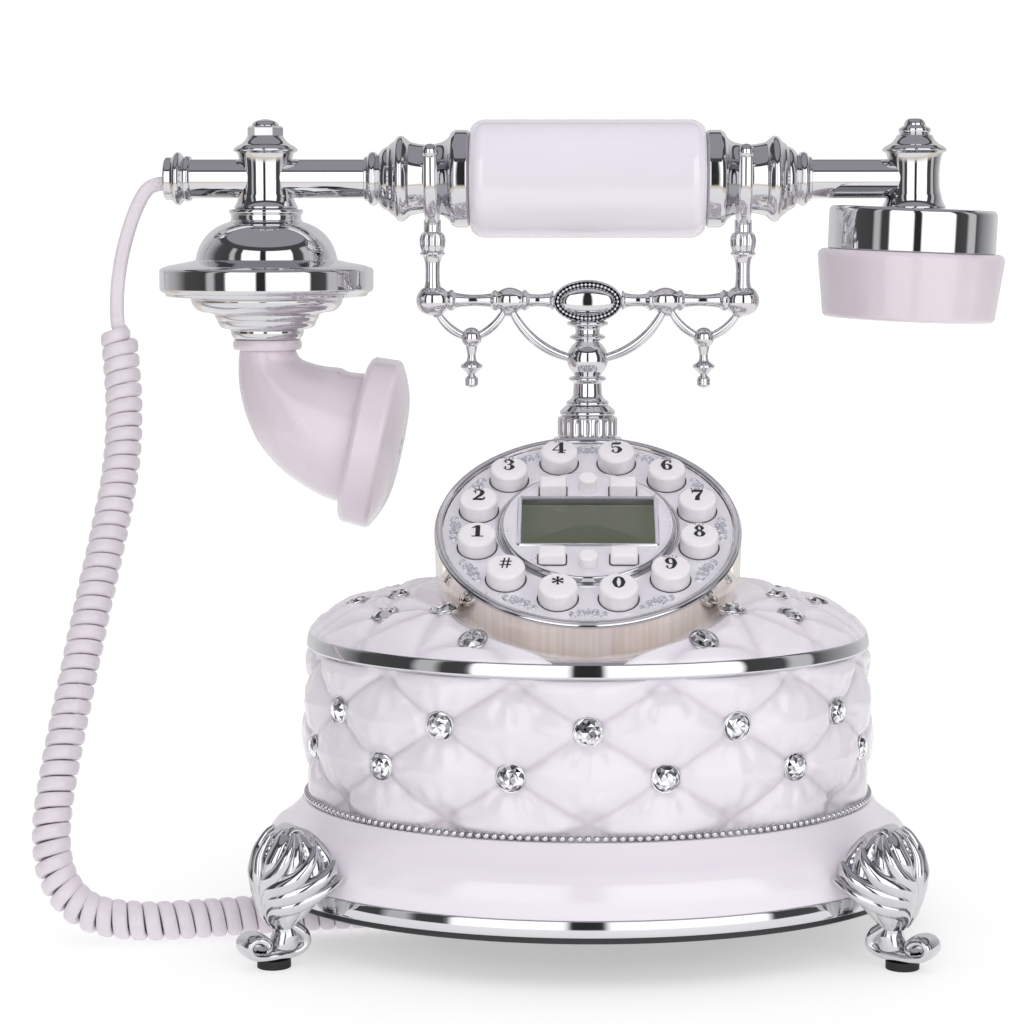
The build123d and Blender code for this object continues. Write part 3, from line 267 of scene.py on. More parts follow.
def mark_folds(piece, depth_at):
    """Stores on each point how deep it lies in a crease, 0 on a swell and 1 at the bottom, from its own
    place.  The pearl's colour is darkened by it there as painted shade."""
    flat = np.empty(len(piece.data.vertices) * 3)
    piece.data.vertices.foreach_get("co", flat)
    depths = depth_at(flat.reshape(-1, 3) / MM).astype(np.float32)
    piece.data.attributes.new("fold", "FLOAT", "POINT").data.foreach_set("value", depths)


def on_diamonds(along, rows):
    """Place on the two lattices of creases, and how far each is from the middle of its diamond, 0 to 1."""
    p, q = along + rows / 2, along - rows / 2
    return p, q, 2 * np.abs(p - np.round(p)), 2 * np.abs(q - np.round(q))


def quilt(along, rows, reach_across, reach_up):
    """Height of diamond quilting.  Creases run where the sum or the difference of the two lattice
    coordinates is a half number; each cell is a mean of a pillow and of a four-sided roof with its ridges
    towards the crossings; a flat dimple and a few pleats draw in at each crossing."""
    p, q, x, y = on_diamonds(along, rows)
    pillow = ((1 - x ** 2.4) * (1 - y ** 2.4)).clip(0) ** 0.45
    roof = 1 - (x ** 7 + y ** 7).clip(0, 1) ** (1 / 7)
    swell = PILLOW * pillow + (1 - PILLOW) * roof
    knot_p, knot_q = np.floor(p) + 0.5, np.floor(q) + 0.5
    across = (along - (knot_p + knot_q) / 2) * reach_across
    up = (rows - (knot_p - knot_q)) * reach_up
    apart = np.hypot(across, up)
    button = np.exp(-(apart / BUTTON_WIDE) ** 4)
    heading = np.arctan2(up, across)
    pleats = np.cos(PLEATS * heading + 3 * knot_p + 5 * knot_q) * np.exp(-((apart - PLEAT_OUT) / PLEAT_WIDE) ** 2)
    return PUFF * swell - CREASE_DROP - BUTTON_DROP * button + PLEAT_RISE * pleats


def unit(rows):
    """The same vectors at length one."""
    return rows / np.linalg.norm(rows, axis=-1, keepdims=True)


def drum_wall(turn, z):
    """Point and outward direction on the plain bowed oval wall."""
    from_waist = (z - (drum_low + drum_top) / 2) / ((drum_top - drum_low) / 2)
    half = DRUM_HALF + DRUM_SWELL * (1 - from_waist ** 2)
    point = np.stack([half * np.cos(turn), half * DEPTH * np.sin(turn), z], -1)
    return point, unit(np.stack([DEPTH * np.cos(turn), np.sin(turn), 0 * turn], -1))


turn, height = np.meshgrid(turns(720), np.linspace(drum_low, drum_top, 84))
point, out = drum_wall(turn, height)
lattice_turn = (turn + pi / 2) / (2 * pi / TUFTS_ROUND)
lattice_row = (height - ROW_LOW) / (ROW_HIGH - ROW_LOW)
cell = np.hypot(DRUM_HALF * np.sin(turn), DRUM_HALF * DEPTH * np.cos(turn)) * 2 * pi / TUFTS_ROUND
fade = np.clip(np.minimum(height - drum_low, drum_top - height) / EDGE_FADE, 0, 1) ** 0.5
rise = quilt(lattice_turn, lattice_row, cell, ROW_HIGH - ROW_LOW)
rise = rise * fade - (1 - fade) * EDGE_SINK
drum_grid = point + out * rise[..., None]
lip = drum_grid[[-1]] * [0.9, 0.9, 1]
heel = drum_grid[[0]] * [0.9, 0.9, 1]
drum_piece = shell("drum_quilting", np.concatenate([heel, drum_grid, lip, heel]), pearl, "base", "pearl_plastic",
                   "drum_shell", sharp=80)


def drum_fold(spots):
    """Depth in the drum's creases, widening a little towards the tufts."""
    along = (np.arctan2(spots[:, 1] / DEPTH, spots[:, 0]) + pi / 2) / (2 * pi / TUFTS_ROUND)
    from_middle = on_diamonds(along, (spots[:, 2] - ROW_LOW) / (ROW_HIGH - ROW_LOW))[2:]
    line = np.maximum(*from_middle).clip(0, 1)
    return 0.75 * ((line - 0.86) / 0.14).clip(0, 1) ** 1.5 + 0.25 * line ** 3


mark_folds(drum_piece, drum_fold)

# ---------------------------------------------------------------- bead chain
# A pressed chain of small chrome beads, laid in the corner where the drum stands on the skirt.

BEADS, BEAD_R, BEAD_UP, BEAD_IN = 196, 1.12, 1.15, 1.1
chain_low, chain_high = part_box("bead_trim")
chain_half = (chain_high[0] - chain_low[0]) / 2 / MM - BEAD_IN


def walked(line):
    """Length walked along a line of points, up to each of them."""
    return np.concatenate([[0], np.cumsum(np.linalg.norm(np.diff(line, axis=0), axis=1))])


def ball(rows, columns):
    """Grid of a ball of radius one, from its lowest point up."""
    lat, lon = np.meshgrid(np.linspace(-pi / 2, pi / 2, rows), turns(columns), indexing="ij")
    return np.stack([np.cos(lat) * np.cos(lon), np.cos(lat) * np.sin(lon), np.sin(lat)], -1)


def many(name, copies, material, body, slot, *hides, sharp=50.0):
    """Joins copies of one closed grid (copies, rows, columns, xyz) in a mesh."""
    rows, columns = copies.shape[1:3]
    every = lattice(rows, columns)[None] + (np.arange(len(copies)) * rows * columns)[:, None, None]
    return solid(name, copies.reshape(-1, 3), every.reshape(-1, 4).tolist(), material, body, slot, *hides,
                 sharp=sharp)


def at_spots(form, spots):
    """Copies of one grid, each moved to a spot."""
    return np.asarray(spots)[:, None, None] + form[None]


fine = np.linspace(0, 2 * pi, 4001)
walk = walked(np.stack([chain_half * np.cos(fine), chain_half * DEPTH * np.sin(fine)], -1))
at = np.interp(np.arange(BEADS) / BEADS * walk[-1], walk, fine)
bead = ball(7, 10)
bead_spots = np.stack([chain_half * np.cos(at), chain_half * DEPTH * np.sin(at), 0 * at + deck + BEAD_UP], -1)
many("bead_chain", at_spots(bead * BEAD_R, bead_spots), chrome, "base", "chromed_plastic", "bead_trim")

# ---------------------------------------------------------------- chrome band round the drum's top
# A half-round chrome moulding that hides the joint between the drum and the cushion.

band_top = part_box("drum_rim")[1][2] / MM
BAND_HALF, BAND_WIDE = 84.1, 5.4
band_line = edge_line([(BAND_HALF - BAND_WIDE, drum_top), (BAND_HALF - 0.8, drum_top),
                       (BAND_HALF - 0.05, drum_top + 0.6), (BAND_HALF - 0.6, band_top - 0.9, 0.18),
                       (BAND_HALF - 1.5, band_top - 0.1), (BAND_HALF - BAND_WIDE, band_top - 0.1),
                       (BAND_HALF - BAND_WIDE, drum_top)], ease=0.4)
shell("drum_band", turn_round(band_line, 256, DEPTH), chrome, "base", "chromed_plastic", "drum_rim")

# ---------------------------------------------------------------- dial axis
# The dial leans back in its housing; everything on it is laid out across, up and out from its face.

low, high = (np.array(corner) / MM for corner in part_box("dial_face"))
DIAL_TILT = radians(31)
FACE_R = (high[0] - low[0]) / 2
dial_across = np.array([1.0, 0, 0])
dial_up = np.array([0, cos(DIAL_TILT), sin(DIAL_TILT)])
dial_out = np.array([0, -sin(DIAL_TILT), cos(DIAL_TILT)])
LIP = 1.2                                    # the housing's lip stands this far over the face
dial_middle = np.array([0, -13.0, 121.0])    # middle of the lip's plane
DIAL_R = 45.2


def on_dial(grid):
    """Places points given across, up and out from the middle of the dial."""
    return dial_middle + grid[..., :1] * dial_across + grid[..., 1:2] * dial_up + grid[..., 2:] * dial_out


def off_dial(points):
    """Across, up and out of points, from the middle of the dial."""
    away = points - dial_middle
    return away @ dial_across, away @ dial_up, away @ dial_out


# ---------------------------------------------------------------- top cushion
# The buttoned cushion on top of the drum, of the same pearl plastic: a flat crown that rolls over to
# the band, creased from stone to stone, and sunk in a trough round the dial housing.

CUSHION_HALF, CROWN = 83.2, 14.5
# share of the half width, from the edge in, and share of the crown's height there
CROWN_LINE = np.array([(1.0, 0.0), (0.985, 0.10), (0.965, 0.20), (0.89, 0.44), (0.77, 0.70), (0.64, 0.835),
                       (0.51, 0.91), (0.25, 0.98), (0.0, 1.0)])
# angle of each tuft on the right half, and how far out it lies from the dial housing to the cushion's edge
TOP_TUFTS = ((64.0, 0.58), (34.0, 0.65), (0.0, 0.63), (-8.0, 0.31), (-30.0, 0.56), (-45.6, 0.22), (-64.5, 0.65))
SEAM_SWING = 0.16                            # turn of the two seams that run from a tuft to the edge
TOP_PUFF, SEAM_DROP, SEAM_WIDE, TUFT_DROP, TUFT_WIDE = 1.1, 2.0, 3.4, 0.9, 5.0
TROUGH_DOWN, TROUGH_GAP = 12.6, 0.8          # the trough lies this far under the lip and this far from the wall
BANK, BANK_EASE, BANK_WIDE = 1.05, 0.66, 12  # slope of the trough's bank, eased at the front over this width
FLOOR_UP, HEM_UP = 1.6, 1.2                  # lowest point of the cushion and of its hem over the drum


def crown_height(share):
    """Height of the plain crown at a share of its half width, rounded between the points of its outline."""
    order = CROWN_LINE[::-1]
    return band_top + CROWN * np.interp(share, order[:, 0], order[:, 1])


def segment_distance(x, y, a, b):
    """Distance in plan from points to the straight line between two spots."""
    run = b - a
    t = np.clip(((x - a[0]) * run[0] + (y - a[1]) * run[1]) / (run @ run), 0, 1)
    return np.hypot(x - a[0] - t * run[0], y - a[1] - t * run[1])


def housing_share(turn):
    """Share of the cushion's half width at which the wall of the dial housing stands in a direction."""
    behind = dial_middle[1] + (dial_middle[2] - band_top - CROWN / 2) * tan(DIAL_TILT)
    across = CUSHION_HALF * np.cos(turn) / DIAL_R
    deep = CUSHION_HALF * DEPTH * np.sin(turn) * cos(DIAL_TILT) / DIAL_R
    shift = behind * cos(DIAL_TILT) / DIAL_R
    square = across ** 2 + deep ** 2
    return (deep * shift + np.sqrt((deep * shift) ** 2 - square * (shift ** 2 - 1))) / square


tuft_turn, tuft_part = np.array(TOP_TUFTS + tuple((180 - d, part) for d, part in TOP_TUFTS)).T
tuft_turn = np.radians(tuft_turn)
tuft_share = housing_share(tuft_turn) * (1 - tuft_part) + tuft_part
tuft_plan = CUSHION_HALF * tuft_share[:, None] * np.stack([np.cos(tuft_turn), DEPTH * np.sin(tuft_turn)], -1)
seams = []
for i, turn_to in enumerate(tuft_turn):
    near = np.argsort(np.hypot(*(tuft_plan - tuft_plan[i]).T))[1:4]
    seams += [(tuft_plan[i], tuft_plan[j]) for j in near if j > i]
    for swing in (-SEAM_SWING, SEAM_SWING):
        edge = np.array([cos(turn_to + swing), DEPTH * sin(turn_to + swing)]) * CUSHION_HALF
        seams.append((tuft_plan[i], edge))
turn, share = np.meshgrid(turns(540), np.linspace(1, 0.02, 110) ** 0.8)
x, y = CUSHION_HALF * share * np.cos(turn), CUSHION_HALF * share * DEPTH * np.sin(turn)
z = crown_height(share)
crease = np.min([segment_distance(x, y, a, b) for a, b in seams], axis=0)
button = np.min(np.hypot(x[None] - tuft_plan[:, 0, None, None], y[None] - tuft_plan[:, 1, None, None]), axis=0)
edge_fade = np.clip((1 - share) / 0.05, 0, 1)
z = z + edge_fade * (TOP_PUFF - SEAM_DROP * np.exp(-(crease / SEAM_WIDE) ** 2)
                     - TUFT_DROP * np.exp(-(button / TUFT_WIDE) ** 4))
for _ in range(14):
    across, up, out_n = off_dial(np.stack([x, y, z], -1))
    reach = np.hypot(across, up)
    bank = BANK - BANK_EASE * np.exp(-(x / BANK_WIDE) ** 2) * (y < 0)
    limit = (reach - DIAL_R - TROUGH_GAP).clip(0) * bank - TROUGH_DOWN
    z = z - np.clip(out_n - limit, 0, None) * 0.8
z = np.maximum(z, drum_top + FLOOR_UP)
cushion_top = np.stack([x, y, z], -1)
skirting = cushion_top[:1] * [1, 1, 0] + [0, 0, drum_top + HEM_UP]
under = skirting * [0.9, 0.9, 1]
hub = under * [0, 0, 1]
crown_middle = cushion_top[-1:] * [0, 0, 1]
cushion = shell("cushion_quilting", np.concatenate([hub, under, skirting, cushion_top, crown_middle]), pearl,
                "base", "pearl_plastic", "top_cushion", sharp=80)


def cushion_fold(spots):
    """Depth in the cushion's creases, falling off from the nearest seam."""
    away = np.min([segment_distance(spots[:, 0], spots[:, 1], a, b) for a, b in seams], axis=0)
    return 0.9 * np.exp(-(away / 1.3) ** 1.4)


mark_folds(cushion, cushion_fold)

# ---------------------------------------------------------------- stones
# Foil-backed glass rhinestones, one pressed into each tuft in a thin crimped cup.

stone_glass = finish("stone_glass", (0.95, 0.95, 0.98), 0.03, metal=0.9, rough_spread=0.02, Coat_Weight=1.0,
                     Coat_Roughness=0.02)
stone_nodes = stone_glass.node_tree.nodes
# Painted reflections: each facet of the stones gets a random base colour from near black to near white, standing for
# the dark and bright glints of a cut stone.
facet_glint = stone_nodes.new("ShaderNodeAttribute")
facet_glint.attribute_name = "facet_glint"
sparkle = ramp(stone_nodes, (0.10, (0.06, 0.06, 0.07)), (0.55, (0.97, 0.97, 1.0)))
stone_glass.node_tree.links.new(facet_glint.outputs["Fac"], sparkle.inputs["Fac"])
stone_glass.node_tree.links.new(sparkle.outputs["Color"], stone_nodes["Principled BSDF"].inputs["Base Color"])
STONE_R, FACETS, STONE_SINK, STONE_UP = 4.0, 12, 1.5, 0.75
# share of the radius, height, and turn in facets: girdle, lower crown, upper crown and table
STONE_RINGS = ((1.0, -0.9, 0.0), (1.0, 0.15, 0.0), (0.88, 0.55, 0.5), (0.64, 1.35, 0.0), (0.44, 1.75, 0.5),
               (0.0, 1.78, 0.5))
stone_r, stone_h, stone_turn = np.array(STONE_RINGS).T[:, :, None]
stone_turn = 2 * pi * (np.arange(FACETS) + stone_turn) / FACETS
stone_form = np.stack([STONE_R * stone_r * np.cos(stone_turn), STONE_R * stone_r * np.sin(stone_turn),
                       stone_h + 0 * stone_turn], -1)
spots, ways = [], []
for row_z, first in ((ROW_HIGH, 0.0), (ROW_LOW, 0.5)):
    angle = (np.arange(TUFTS_ROUND) + first) * 2 * pi / TUFTS_ROUND - pi / 2
    point, out = drum_wall(angle, np.full(TUFTS_ROUND, row_z))
    spots.append(point - out * STONE_SINK)
    ways.append(out)
grid_spots = cushion_top.reshape(-1, 3)
for x0, y0 in tuft_plan:
    nearest = grid_spots[np.argmin(np.hypot(grid_spots[:, 0] - x0, grid_spots[:, 1] - y0))]
    share0 = np.hypot(x0, y0 / DEPTH) / CUSHION_HALF
    slope = (crown_height(share0 - 0.03) - crown_height(share0 + 0.03)) / (0.06 * CUSHION_HALF)
    lean = unit(np.array([x0, y0 / DEPTH ** 2, 0]) / np.hypot(x0, y0 / DEPTH) * slope + [0, 0, 1])
    spots.append((nearest + lean * STONE_UP)[None])
    ways.append(lean[None])
spots, ways = np.concatenate(spots), np.concatenate(ways)
side = unit(np.cross([0.3, 0.2, 1.0], ways))
other = np.cross(ways, side)


def at_stones(form):
    """Copies of a small form, one on each stone's bed."""
    return (spots[:, None, None] + form[None, ..., :1] * side[:, None, None]
            + form[None, ..., 1:2] * other[:, None, None] + form[None, ..., 2:] * ways[:, None, None])


quads = lattice(*stone_form.shape[:2])
tris = np.concatenate([quads[:, [0, 1, 2]], quads[:, [0, 2, 3]]])
every = (tris[None] + (np.arange(len(spots)) * len(STONE_RINGS) * FACETS)[:, None, None]).reshape(-1, 3)
stone_mesh = solid("rhinestones", at_stones(stone_form).reshape(-1, 3), every.tolist(), stone_glass, "base",
                   "crystal", "crystals", flat=True).data
# random painted glint level for each facet
painted_glints = np.random.default_rng(11).random(len(stone_mesh.polygons))
stone_mesh.attributes.new("facet_glint", "FLOAT", "FACE").data.foreach_set("value", painted_glints)
cup_line = edge_line([(STONE_R, -0.9), (STONE_R + 0.4, -0.9), (STONE_R + 0.4, 0.1), (STONE_R + 0.15, 0.38, 0.05),
                      (STONE_R - 0.1, 0.32), (STONE_R, -0.9)], ease=0.05)
many("stone_cups", at_stones(turn_round(cup_line, 28)), chrome, "base", "crystal", sharp=60)

# ---------------------------------------------------------------- feet
# Four cast and plated scroll feet: an acanthus leaf swells over the skirt's corner, narrows to an
# ankle and curls outwards in a toe.  Each stands on a black rubber pad glued under it.

cast_chrome = finish("cast_chrome", (0.70, 0.70, 0.72), 0.07, metal=1.0, mottle=0.12, mottle_size=0.008,
                     rough_spread=0.03, grain=0.12, grain_size=0.003)
pad_rubber = finish("pad_rubber", (0.016, 0.016, 0.017), 0.7, mottle=0.3, grain=0.6, rough_spread=0.1)
repaint("foot_pads", pad_rubber)

# height, outward middle, half depth, half width of the leaf
LEAF = np.array([(9.0, -3.0, 1.4, 2.2), (11.0, -3.0, 3.0, 3.6), (14.0, -3.8, 5.6, 5.8), (17.0, -5.0, 7.6, 7.2),
                 (21.5, -6.8, 10.6, 9.8), (26.5, -8.0, 12.6, 12.0), (32.0, -6.8, 10.8, 11.2), (36.0, -6.0, 7.6, 8.8),
                 (38.6, -5.6, 5.0, 6.2), (40.0, -5.4, 0.0, 0.0)])
heights = np.linspace(LEAF[0, 0], LEAF[-1, 0], 121)
RIBS, RIB_SWEEP, RIB_DEEP = 9, 5.5, 0.22


def softened(row, reach):
    """A row of values smoothed by a bell-shaped mean of so many places to either side, its ends held."""
    bell_shape = np.hanning(2 * reach + 3)[1:-1]
    return np.convolve(np.pad(row, reach, mode="edge"), bell_shape / bell_shape.sum(), "valid")


leaf_fine = np.array([softened(np.interp(heights, LEAF[:, 0], LEAF[:, k]), 7) for k in (1, 2, 3)])
leaf_fine[1:, -1] = 0


def leaf_surface(turn, z, swell=1.0):
    """Outward, sideways and up of the leaf's plain surface, for a turn from straight out and a height."""
    shift, deep, wide = (np.interp(z, heights, row) for row in leaf_fine)
    return np.stack([shift + deep * np.cos(turn) * swell, wide * np.sin(turn) * swell, z], -1)


def foot_grid():
    """The leaf: an oval carried up through its stations and pressed into ribs that start at the spine and
    fan out to both sides as they climb."""
    z, turn = np.meshgrid(heights, turns(144), indexing="ij")
    climb = ((z - 12) / 29).clip(0, 1)
    phase = RIBS * np.abs((turn + pi) % (2 * pi) - pi) - RIB_SWEEP * climb ** 1.3
    valley = 1 - np.abs(np.cos(phase / 2)) ** 0.6
    return leaf_surface(turn, z, 1 - RIB_DEEP * valley * np.sin(pi * climb) ** 0.5)


def heading_of(line):
    """Direction of travel at each point of a line."""
    return unit(np.gradient(line, axis=0))


def wire(line, radius, up, sides=12):
    """Round wire along a line, of a radius for each point."""
    run = heading_of(line)
    across = unit(np.cross(run, up))
    rise = np.cross(across, run)
    q = turns(sides)[None, :, None]
    return line[:, None] + radius[:, None, None] * (across[:, None] * np.cos(q) + rise[:, None] * np.sin(q))


def flame(side, start, reach, low, high, thick, kick):
    """One lobe of the leaf: a rib that leaves the ankle, sweeps back in an S and ends in a free point."""
    t = np.linspace(0, 1, 34)
    turn = side * (start + (reach - start) * (0.25 * t + 0.75 * t ** 1.7))
    z = low + (high - low) * (t + 0.10 * np.sin(2 * pi * t))
    line = leaf_surface(turn, z)
    out = np.stack([np.cos(turn), np.sin(turn), 0.25 + 0 * t], -1)
    line += out * (kick * t ** 3 - 0.5)[:, None]
    return wire(line, thick * (0.05 + np.sin(pi * (0.10 + 0.85 * t)) ** 0.75), out)


def squared_circle(count, power):
    """Two rows that go round a circle drawn out towards a square: the lower the power, the squarer."""
    q = turns(count)[None]
    return [np.sign(f(q)) * np.abs(f(q)) ** power for f in (np.cos, np.sin)]


def ribbon(points, thick, wide, steps=90):
    """A rounded strip along (outward, up) points in the foot's middle plane; thickness and width run along it."""
    points = np.array(points, float)
    walk = walked(points)
    at = np.linspace(0, walk[-1], steps)
    line = np.array([softened(np.interp(at, walk, row), 5) for row in points.T]).T
    run = heading_of(line)
    thick, wide = (np.interp(at / walk[-1], np.linspace(0, 1, len(v)), v)[:, None] for v in (thick, wide))
    bulge, spread = squared_circle(28, 0.8)
    return np.stack([line[:, :1] - run[:, 1:] * thick * bulge, wide * spread,
                     line[:, 1:] + run[:, :1] * thick * bulge], -1)


# each lobe's first and last turn, lowest and highest height, thickness, and how far its tip leaves the leaf
FLAMES = ((0.25, 2.30, 12.0, 25.0, 2.6, 2.6), (0.20, 2.10, 13.0, 30.5, 2.8, 2.4),
          (0.15, 1.75, 14.0, 35.2, 2.7, 2.2), (0.10, 1.15, 15.0, 38.4, 2.4, 1.8))
SPINE = (0.0, 0.0, 12.5, 37.5, 2.0, 1.2)
# height, outward middle, half depth, half width of the ankle
HEEL = np.array([(2.5, -2.6, 3.0, 3.2), (4.0, -3.2, 4.8, 4.2), (7.0, -3.8, 4.9, 4.4), (9.5, -3.8, 3.8, 4.0),
                 (12.5, -3.2, 3.2, 3.6)])
TOE = ((-1.5, 13.4), (-5.2, 11.4), (-8.4, 9.0), (-8.9, 6.2), (-6.0, 4.3), (-1.0, 4.0), (4.0, 3.9), (7.8, 4.6),
       (9.6, 7.0), (7.9, 9.2), (4.8, 9.1), (2.9, 7.4), (3.7, 5.9), (5.2, 6.5))
TOE_THICK, TOE_WIDE = (1.4, 1.9, 1.9, 1.9, 1.6, 1.5, 1.9), (3.2, 4.6, 4.8, 4.8, 4.6, 4.6, 5.8)
inward = np.linspace(0, 1, 24)
turn, coil_in = np.radians(200 - 430 * inward), 2.9 * (1 - 0.66 * inward)
CURL = np.stack([-5.0 + coil_in * np.cos(turn), 37.2 + coil_in * np.sin(turn)], -1)
CURL_THICK, CURL_WIDE = (0.9, 0.8, 0.7), (5.4, 4.8, 4.0)


def cap_ends(grid):
    """Closes a tube's two ends on their middles."""
    first, last = grid[:1].mean(axis=1, keepdims=True), grid[-1:].mean(axis=1, keepdims=True)
    ring = np.ones((1, grid.shape[1], 1))
    return np.concatenate([first * ring, grid, last * ring])


def foot_piece(name, grid, spot, *hides):
    """One part of a foot, closed, turned to face away from the body's middle and set on its spot."""
    x, y, heading = *spot, atan2(spot[1], spot[0])
    grid = cap_ends(grid)
    place = np.stack([x + grid[..., 0] * cos(heading) - grid[..., 1] * sin(heading),
                      y + grid[..., 0] * sin(heading) + grid[..., 1] * cos(heading), grid[..., 2]], -1)
    shell(name, place, cast_chrome, "base", "chrome_casting", *hides, sharp=70)


FOOT_SPOTS = (("front_left", (-89.0, -54.0)), ("front_right", (89.0, -54.0)), ("rear_left", (-74.0, 60.0)),
              ("rear_right", (74.0, 60.0)))
heel_z, heel_u, heel_deep, heel_wide = HEEL.T[:, :, None]
turn = turns(40)[None]
heel_grid = np.stack([heel_u + heel_deep * np.cos(turn), heel_wide * np.sin(turn), heel_z + 0 * turn], -1)
for corner, spot in FOOT_SPOTS:
    foot_piece(f"foot_{corner}", foot_grid(), spot, *(["feet"] if corner == "front_left" else []))
    foot_piece(f"toe_{corner}", ribbon(TOE, TOE_THICK, TOE_WIDE), spot)
    foot_piece(f"heel_{corner}", heel_grid, spot)
    foot_piece(f"curl_{corner}", ribbon(CURL, CURL_THICK, CURL_WIDE), spot)
    for k, lobe in enumerate(FLAMES):
        for side in (-1, 1):
            foot_piece(f"lobe_{corner}_{k}_{'lr'[side > 0]}", flame(side, *lobe), spot)
    foot_piece(f"spine_{corner}", flame(1, *SPINE), spot)

# ---------------------------------------------------------------- dial housing
# A drawn cup of chromed plastic, leaning back on the cushion, with a rolled lip round the face and an
# upright boss behind it that carries the stem.

SEAT_FRONT, SEAT_BACK = (-45.0, 85.6), (56.0, 91.8)          # depth and height of the sloping floor under it
CHIN_DOWN, CHIN_WIDE = 2.6, 20                               # the wall's front reaches further down in the trough
ROLL, SEAM_IN, AROUND = 1.1, 1.2, 192

wall_top = on_dial(turn_round(np.array([[DIAL_R, -ROLL]]), AROUND))[0]
slope = (SEAT_BACK[1] - SEAT_FRONT[1]) / (SEAT_BACK[0] - SEAT_FRONT[0])
seat = SEAT_FRONT[1] + (wall_top[:, 1] - SEAT_FRONT[0]) * slope
depth = (wall_top[:, 2] - seat) / (dial_out[2] - slope * dial_out[1])
depth += CHIN_DOWN * np.exp(-(wall_top[:, 0] / CHIN_WIDE) ** 4) * (wall_top[:, 1] < 0)
lip_line = edge_line([(FACE_R + 0.1, -LIP - SEAM_IN), (FACE_R + 0.1, -0.5), (FACE_R + 1.1, 0.0, -0.1),
                      (DIAL_R - 0.5, 0.0, -0.15), (DIAL_R, -ROLL, 0.25)], ease=0.3)
drops = np.linspace(0, 1, 24)[1:, None]
wall = wall_top[None] - drops[..., None] * depth[None, :, None] * dial_out
inside = np.array([[0.985 * FACE_R, -LIP - SEAM_IN]])
housing_grid = np.concatenate([on_dial(turn_round(np.concatenate([inside, lip_line]), AROUND)), wall])
# Painted reflection: the housing wall's chrome is tinted beige and streaked upright, standing for the wood it
# mirrors.
REFLECTION_STREAK_SIZE = (0.0011, 0.0011, 0.4)
painted_reflection_chrome = finish("painted_reflection_chrome", (0.80, 0.76, 0.70), 0.07, metal=1.0, mottle=0.04, mottle_size=0.02,
                     rough_spread=0.02, grain=0.02, grain_size=0.006)
wall_nodes, wall_link = painted_reflection_chrome.node_tree.nodes, painted_reflection_chrome.node_tree.links.new
turned_up = wall_nodes.new("ShaderNodeMapping")
turned_up.vector_type = "TEXTURE"
turned_up.inputs["Rotation"].default_value = (DIAL_TILT, 0, 0)
turned_up.inputs["Scale"].default_value = REFLECTION_STREAK_SIZE
wall_link(wall_nodes.new("ShaderNodeTexCoord").outputs["Object"], turned_up.inputs["Vector"])
reflection_streak = wall_nodes.new("ShaderNodeTexNoise")
socket_set(reflection_streak, Scale=1.0, Detail=2.0)
wall_link(turned_up.outputs["Vector"], reflection_streak.inputs["Vector"])
lines = ramp(wall_nodes, (0.40, (0.94, 0.86, 0.77)), (0.60, (1.0, 0.96, 0.89)))
wall_link(reflection_streak.outputs["Fac"], lines.inputs["Fac"])
wall_link(lines.outputs["Color"], wall_nodes["Principled BSDF"].inputs["Base Color"])


def paint_where(piece, material, test):
    """Gives a second material to the faces whose middles, in millimetres, pass a test."""
    mesh = piece.data
    mesh.materials.append(material)
    flat = np.empty(len(mesh.polygons) * 3)
    mesh.polygons.foreach_get("center", flat)
    mesh.polygons.foreach_set("material_index", test(flat.reshape(-1, 3) / MM).astype(np.int32))


cup = shell("dial_cup", housing_grid, painted_reflection_chrome, "base", "chromed_plastic", "dial_housing", sharp=60)
paint_where(cup, chrome, lambda spots: off_dial(spots)[2] > -ROLL - 0.5)

boss_line = edge_line([(0.0, 94.0), (12.5, 94.0), (12.0, 101.0, -0.3), (11.0, 108.0, -0.3), (11.0, 141.6),
                       (10.2, 143.0, 0.2), (0.0, 143.0)], ease=0.5)
stem_spot = middle("stem_collar")[:2]
shell("stem_boss", turn_round(boss_line, 96, 1.0, stem_spot), chrome, "base", "chromed_plastic")

# ---------------------------------------------------------------- dial face
# A pressed plate with a satin nickel finish, embossed all round with small scrolls; the holes for the
# keys are not cut in it.  A raised disc inside a double ring carries the display.

satin_silver = finish("satin_silver", (0.93, 0.91, 0.965), 0.30, metal=0.42, mottle=0.05, mottle_size=0.012,
                      rough_spread=0.05, grain=0.12, grain_size=0.0006)
INSET_R, INSET_RISE = 25.4, 1.8
plate_line = edge_line([(0.0, -LIP - 2.0), (FACE_R - 0.1, -LIP - 2.0), (FACE_R - 0.1, -LIP), (INSET_R + 2.0, -LIP),
                        (INSET_R + 1.2, -LIP + 0.5, 0.2), (INSET_R + 0.4, -LIP, -0.2), (INSET_R, -LIP + INSET_RISE),
                        (INSET_R - 0.9, -LIP + INSET_RISE + 0.35, 0.15), (INSET_R - 1.8, -LIP + INSET_RISE - 0.1),
                        (0.0, -LIP + INSET_RISE - 0.1)], ease=0.12)
plate = shell("dial_plate", on_dial(turn_round(plate_line, 160)), satin_silver, "base", "silver_plate",
              "dial_face", sharp=30)


def on_ring(spots):
    """Whether spots lie on the double ring round the raised disc."""
    r = np.hypot(*off_dial(spots)[:2])
    return (r > INSET_R - 0.5) & (r < INSET_R + 1.7)


paint_where(plate, chrome, on_ring)


def scroll(start, heading, size, curl, steps=22):
    """Points of a scroll that leaves a spot along a heading and winds up tighter and tighter."""
    t = np.linspace(0, 1, steps)
    bend = heading + curl * (0.35 * t + 1.0 * t ** 2.2) * 2 * pi * 0.9
    step = size * (1 - 0.82 * t) / steps * 2.2
    return np.stack([start[0] + np.cumsum(np.cos(bend) * step), start[1] + np.cumsum(np.sin(bend) * step)], -1)


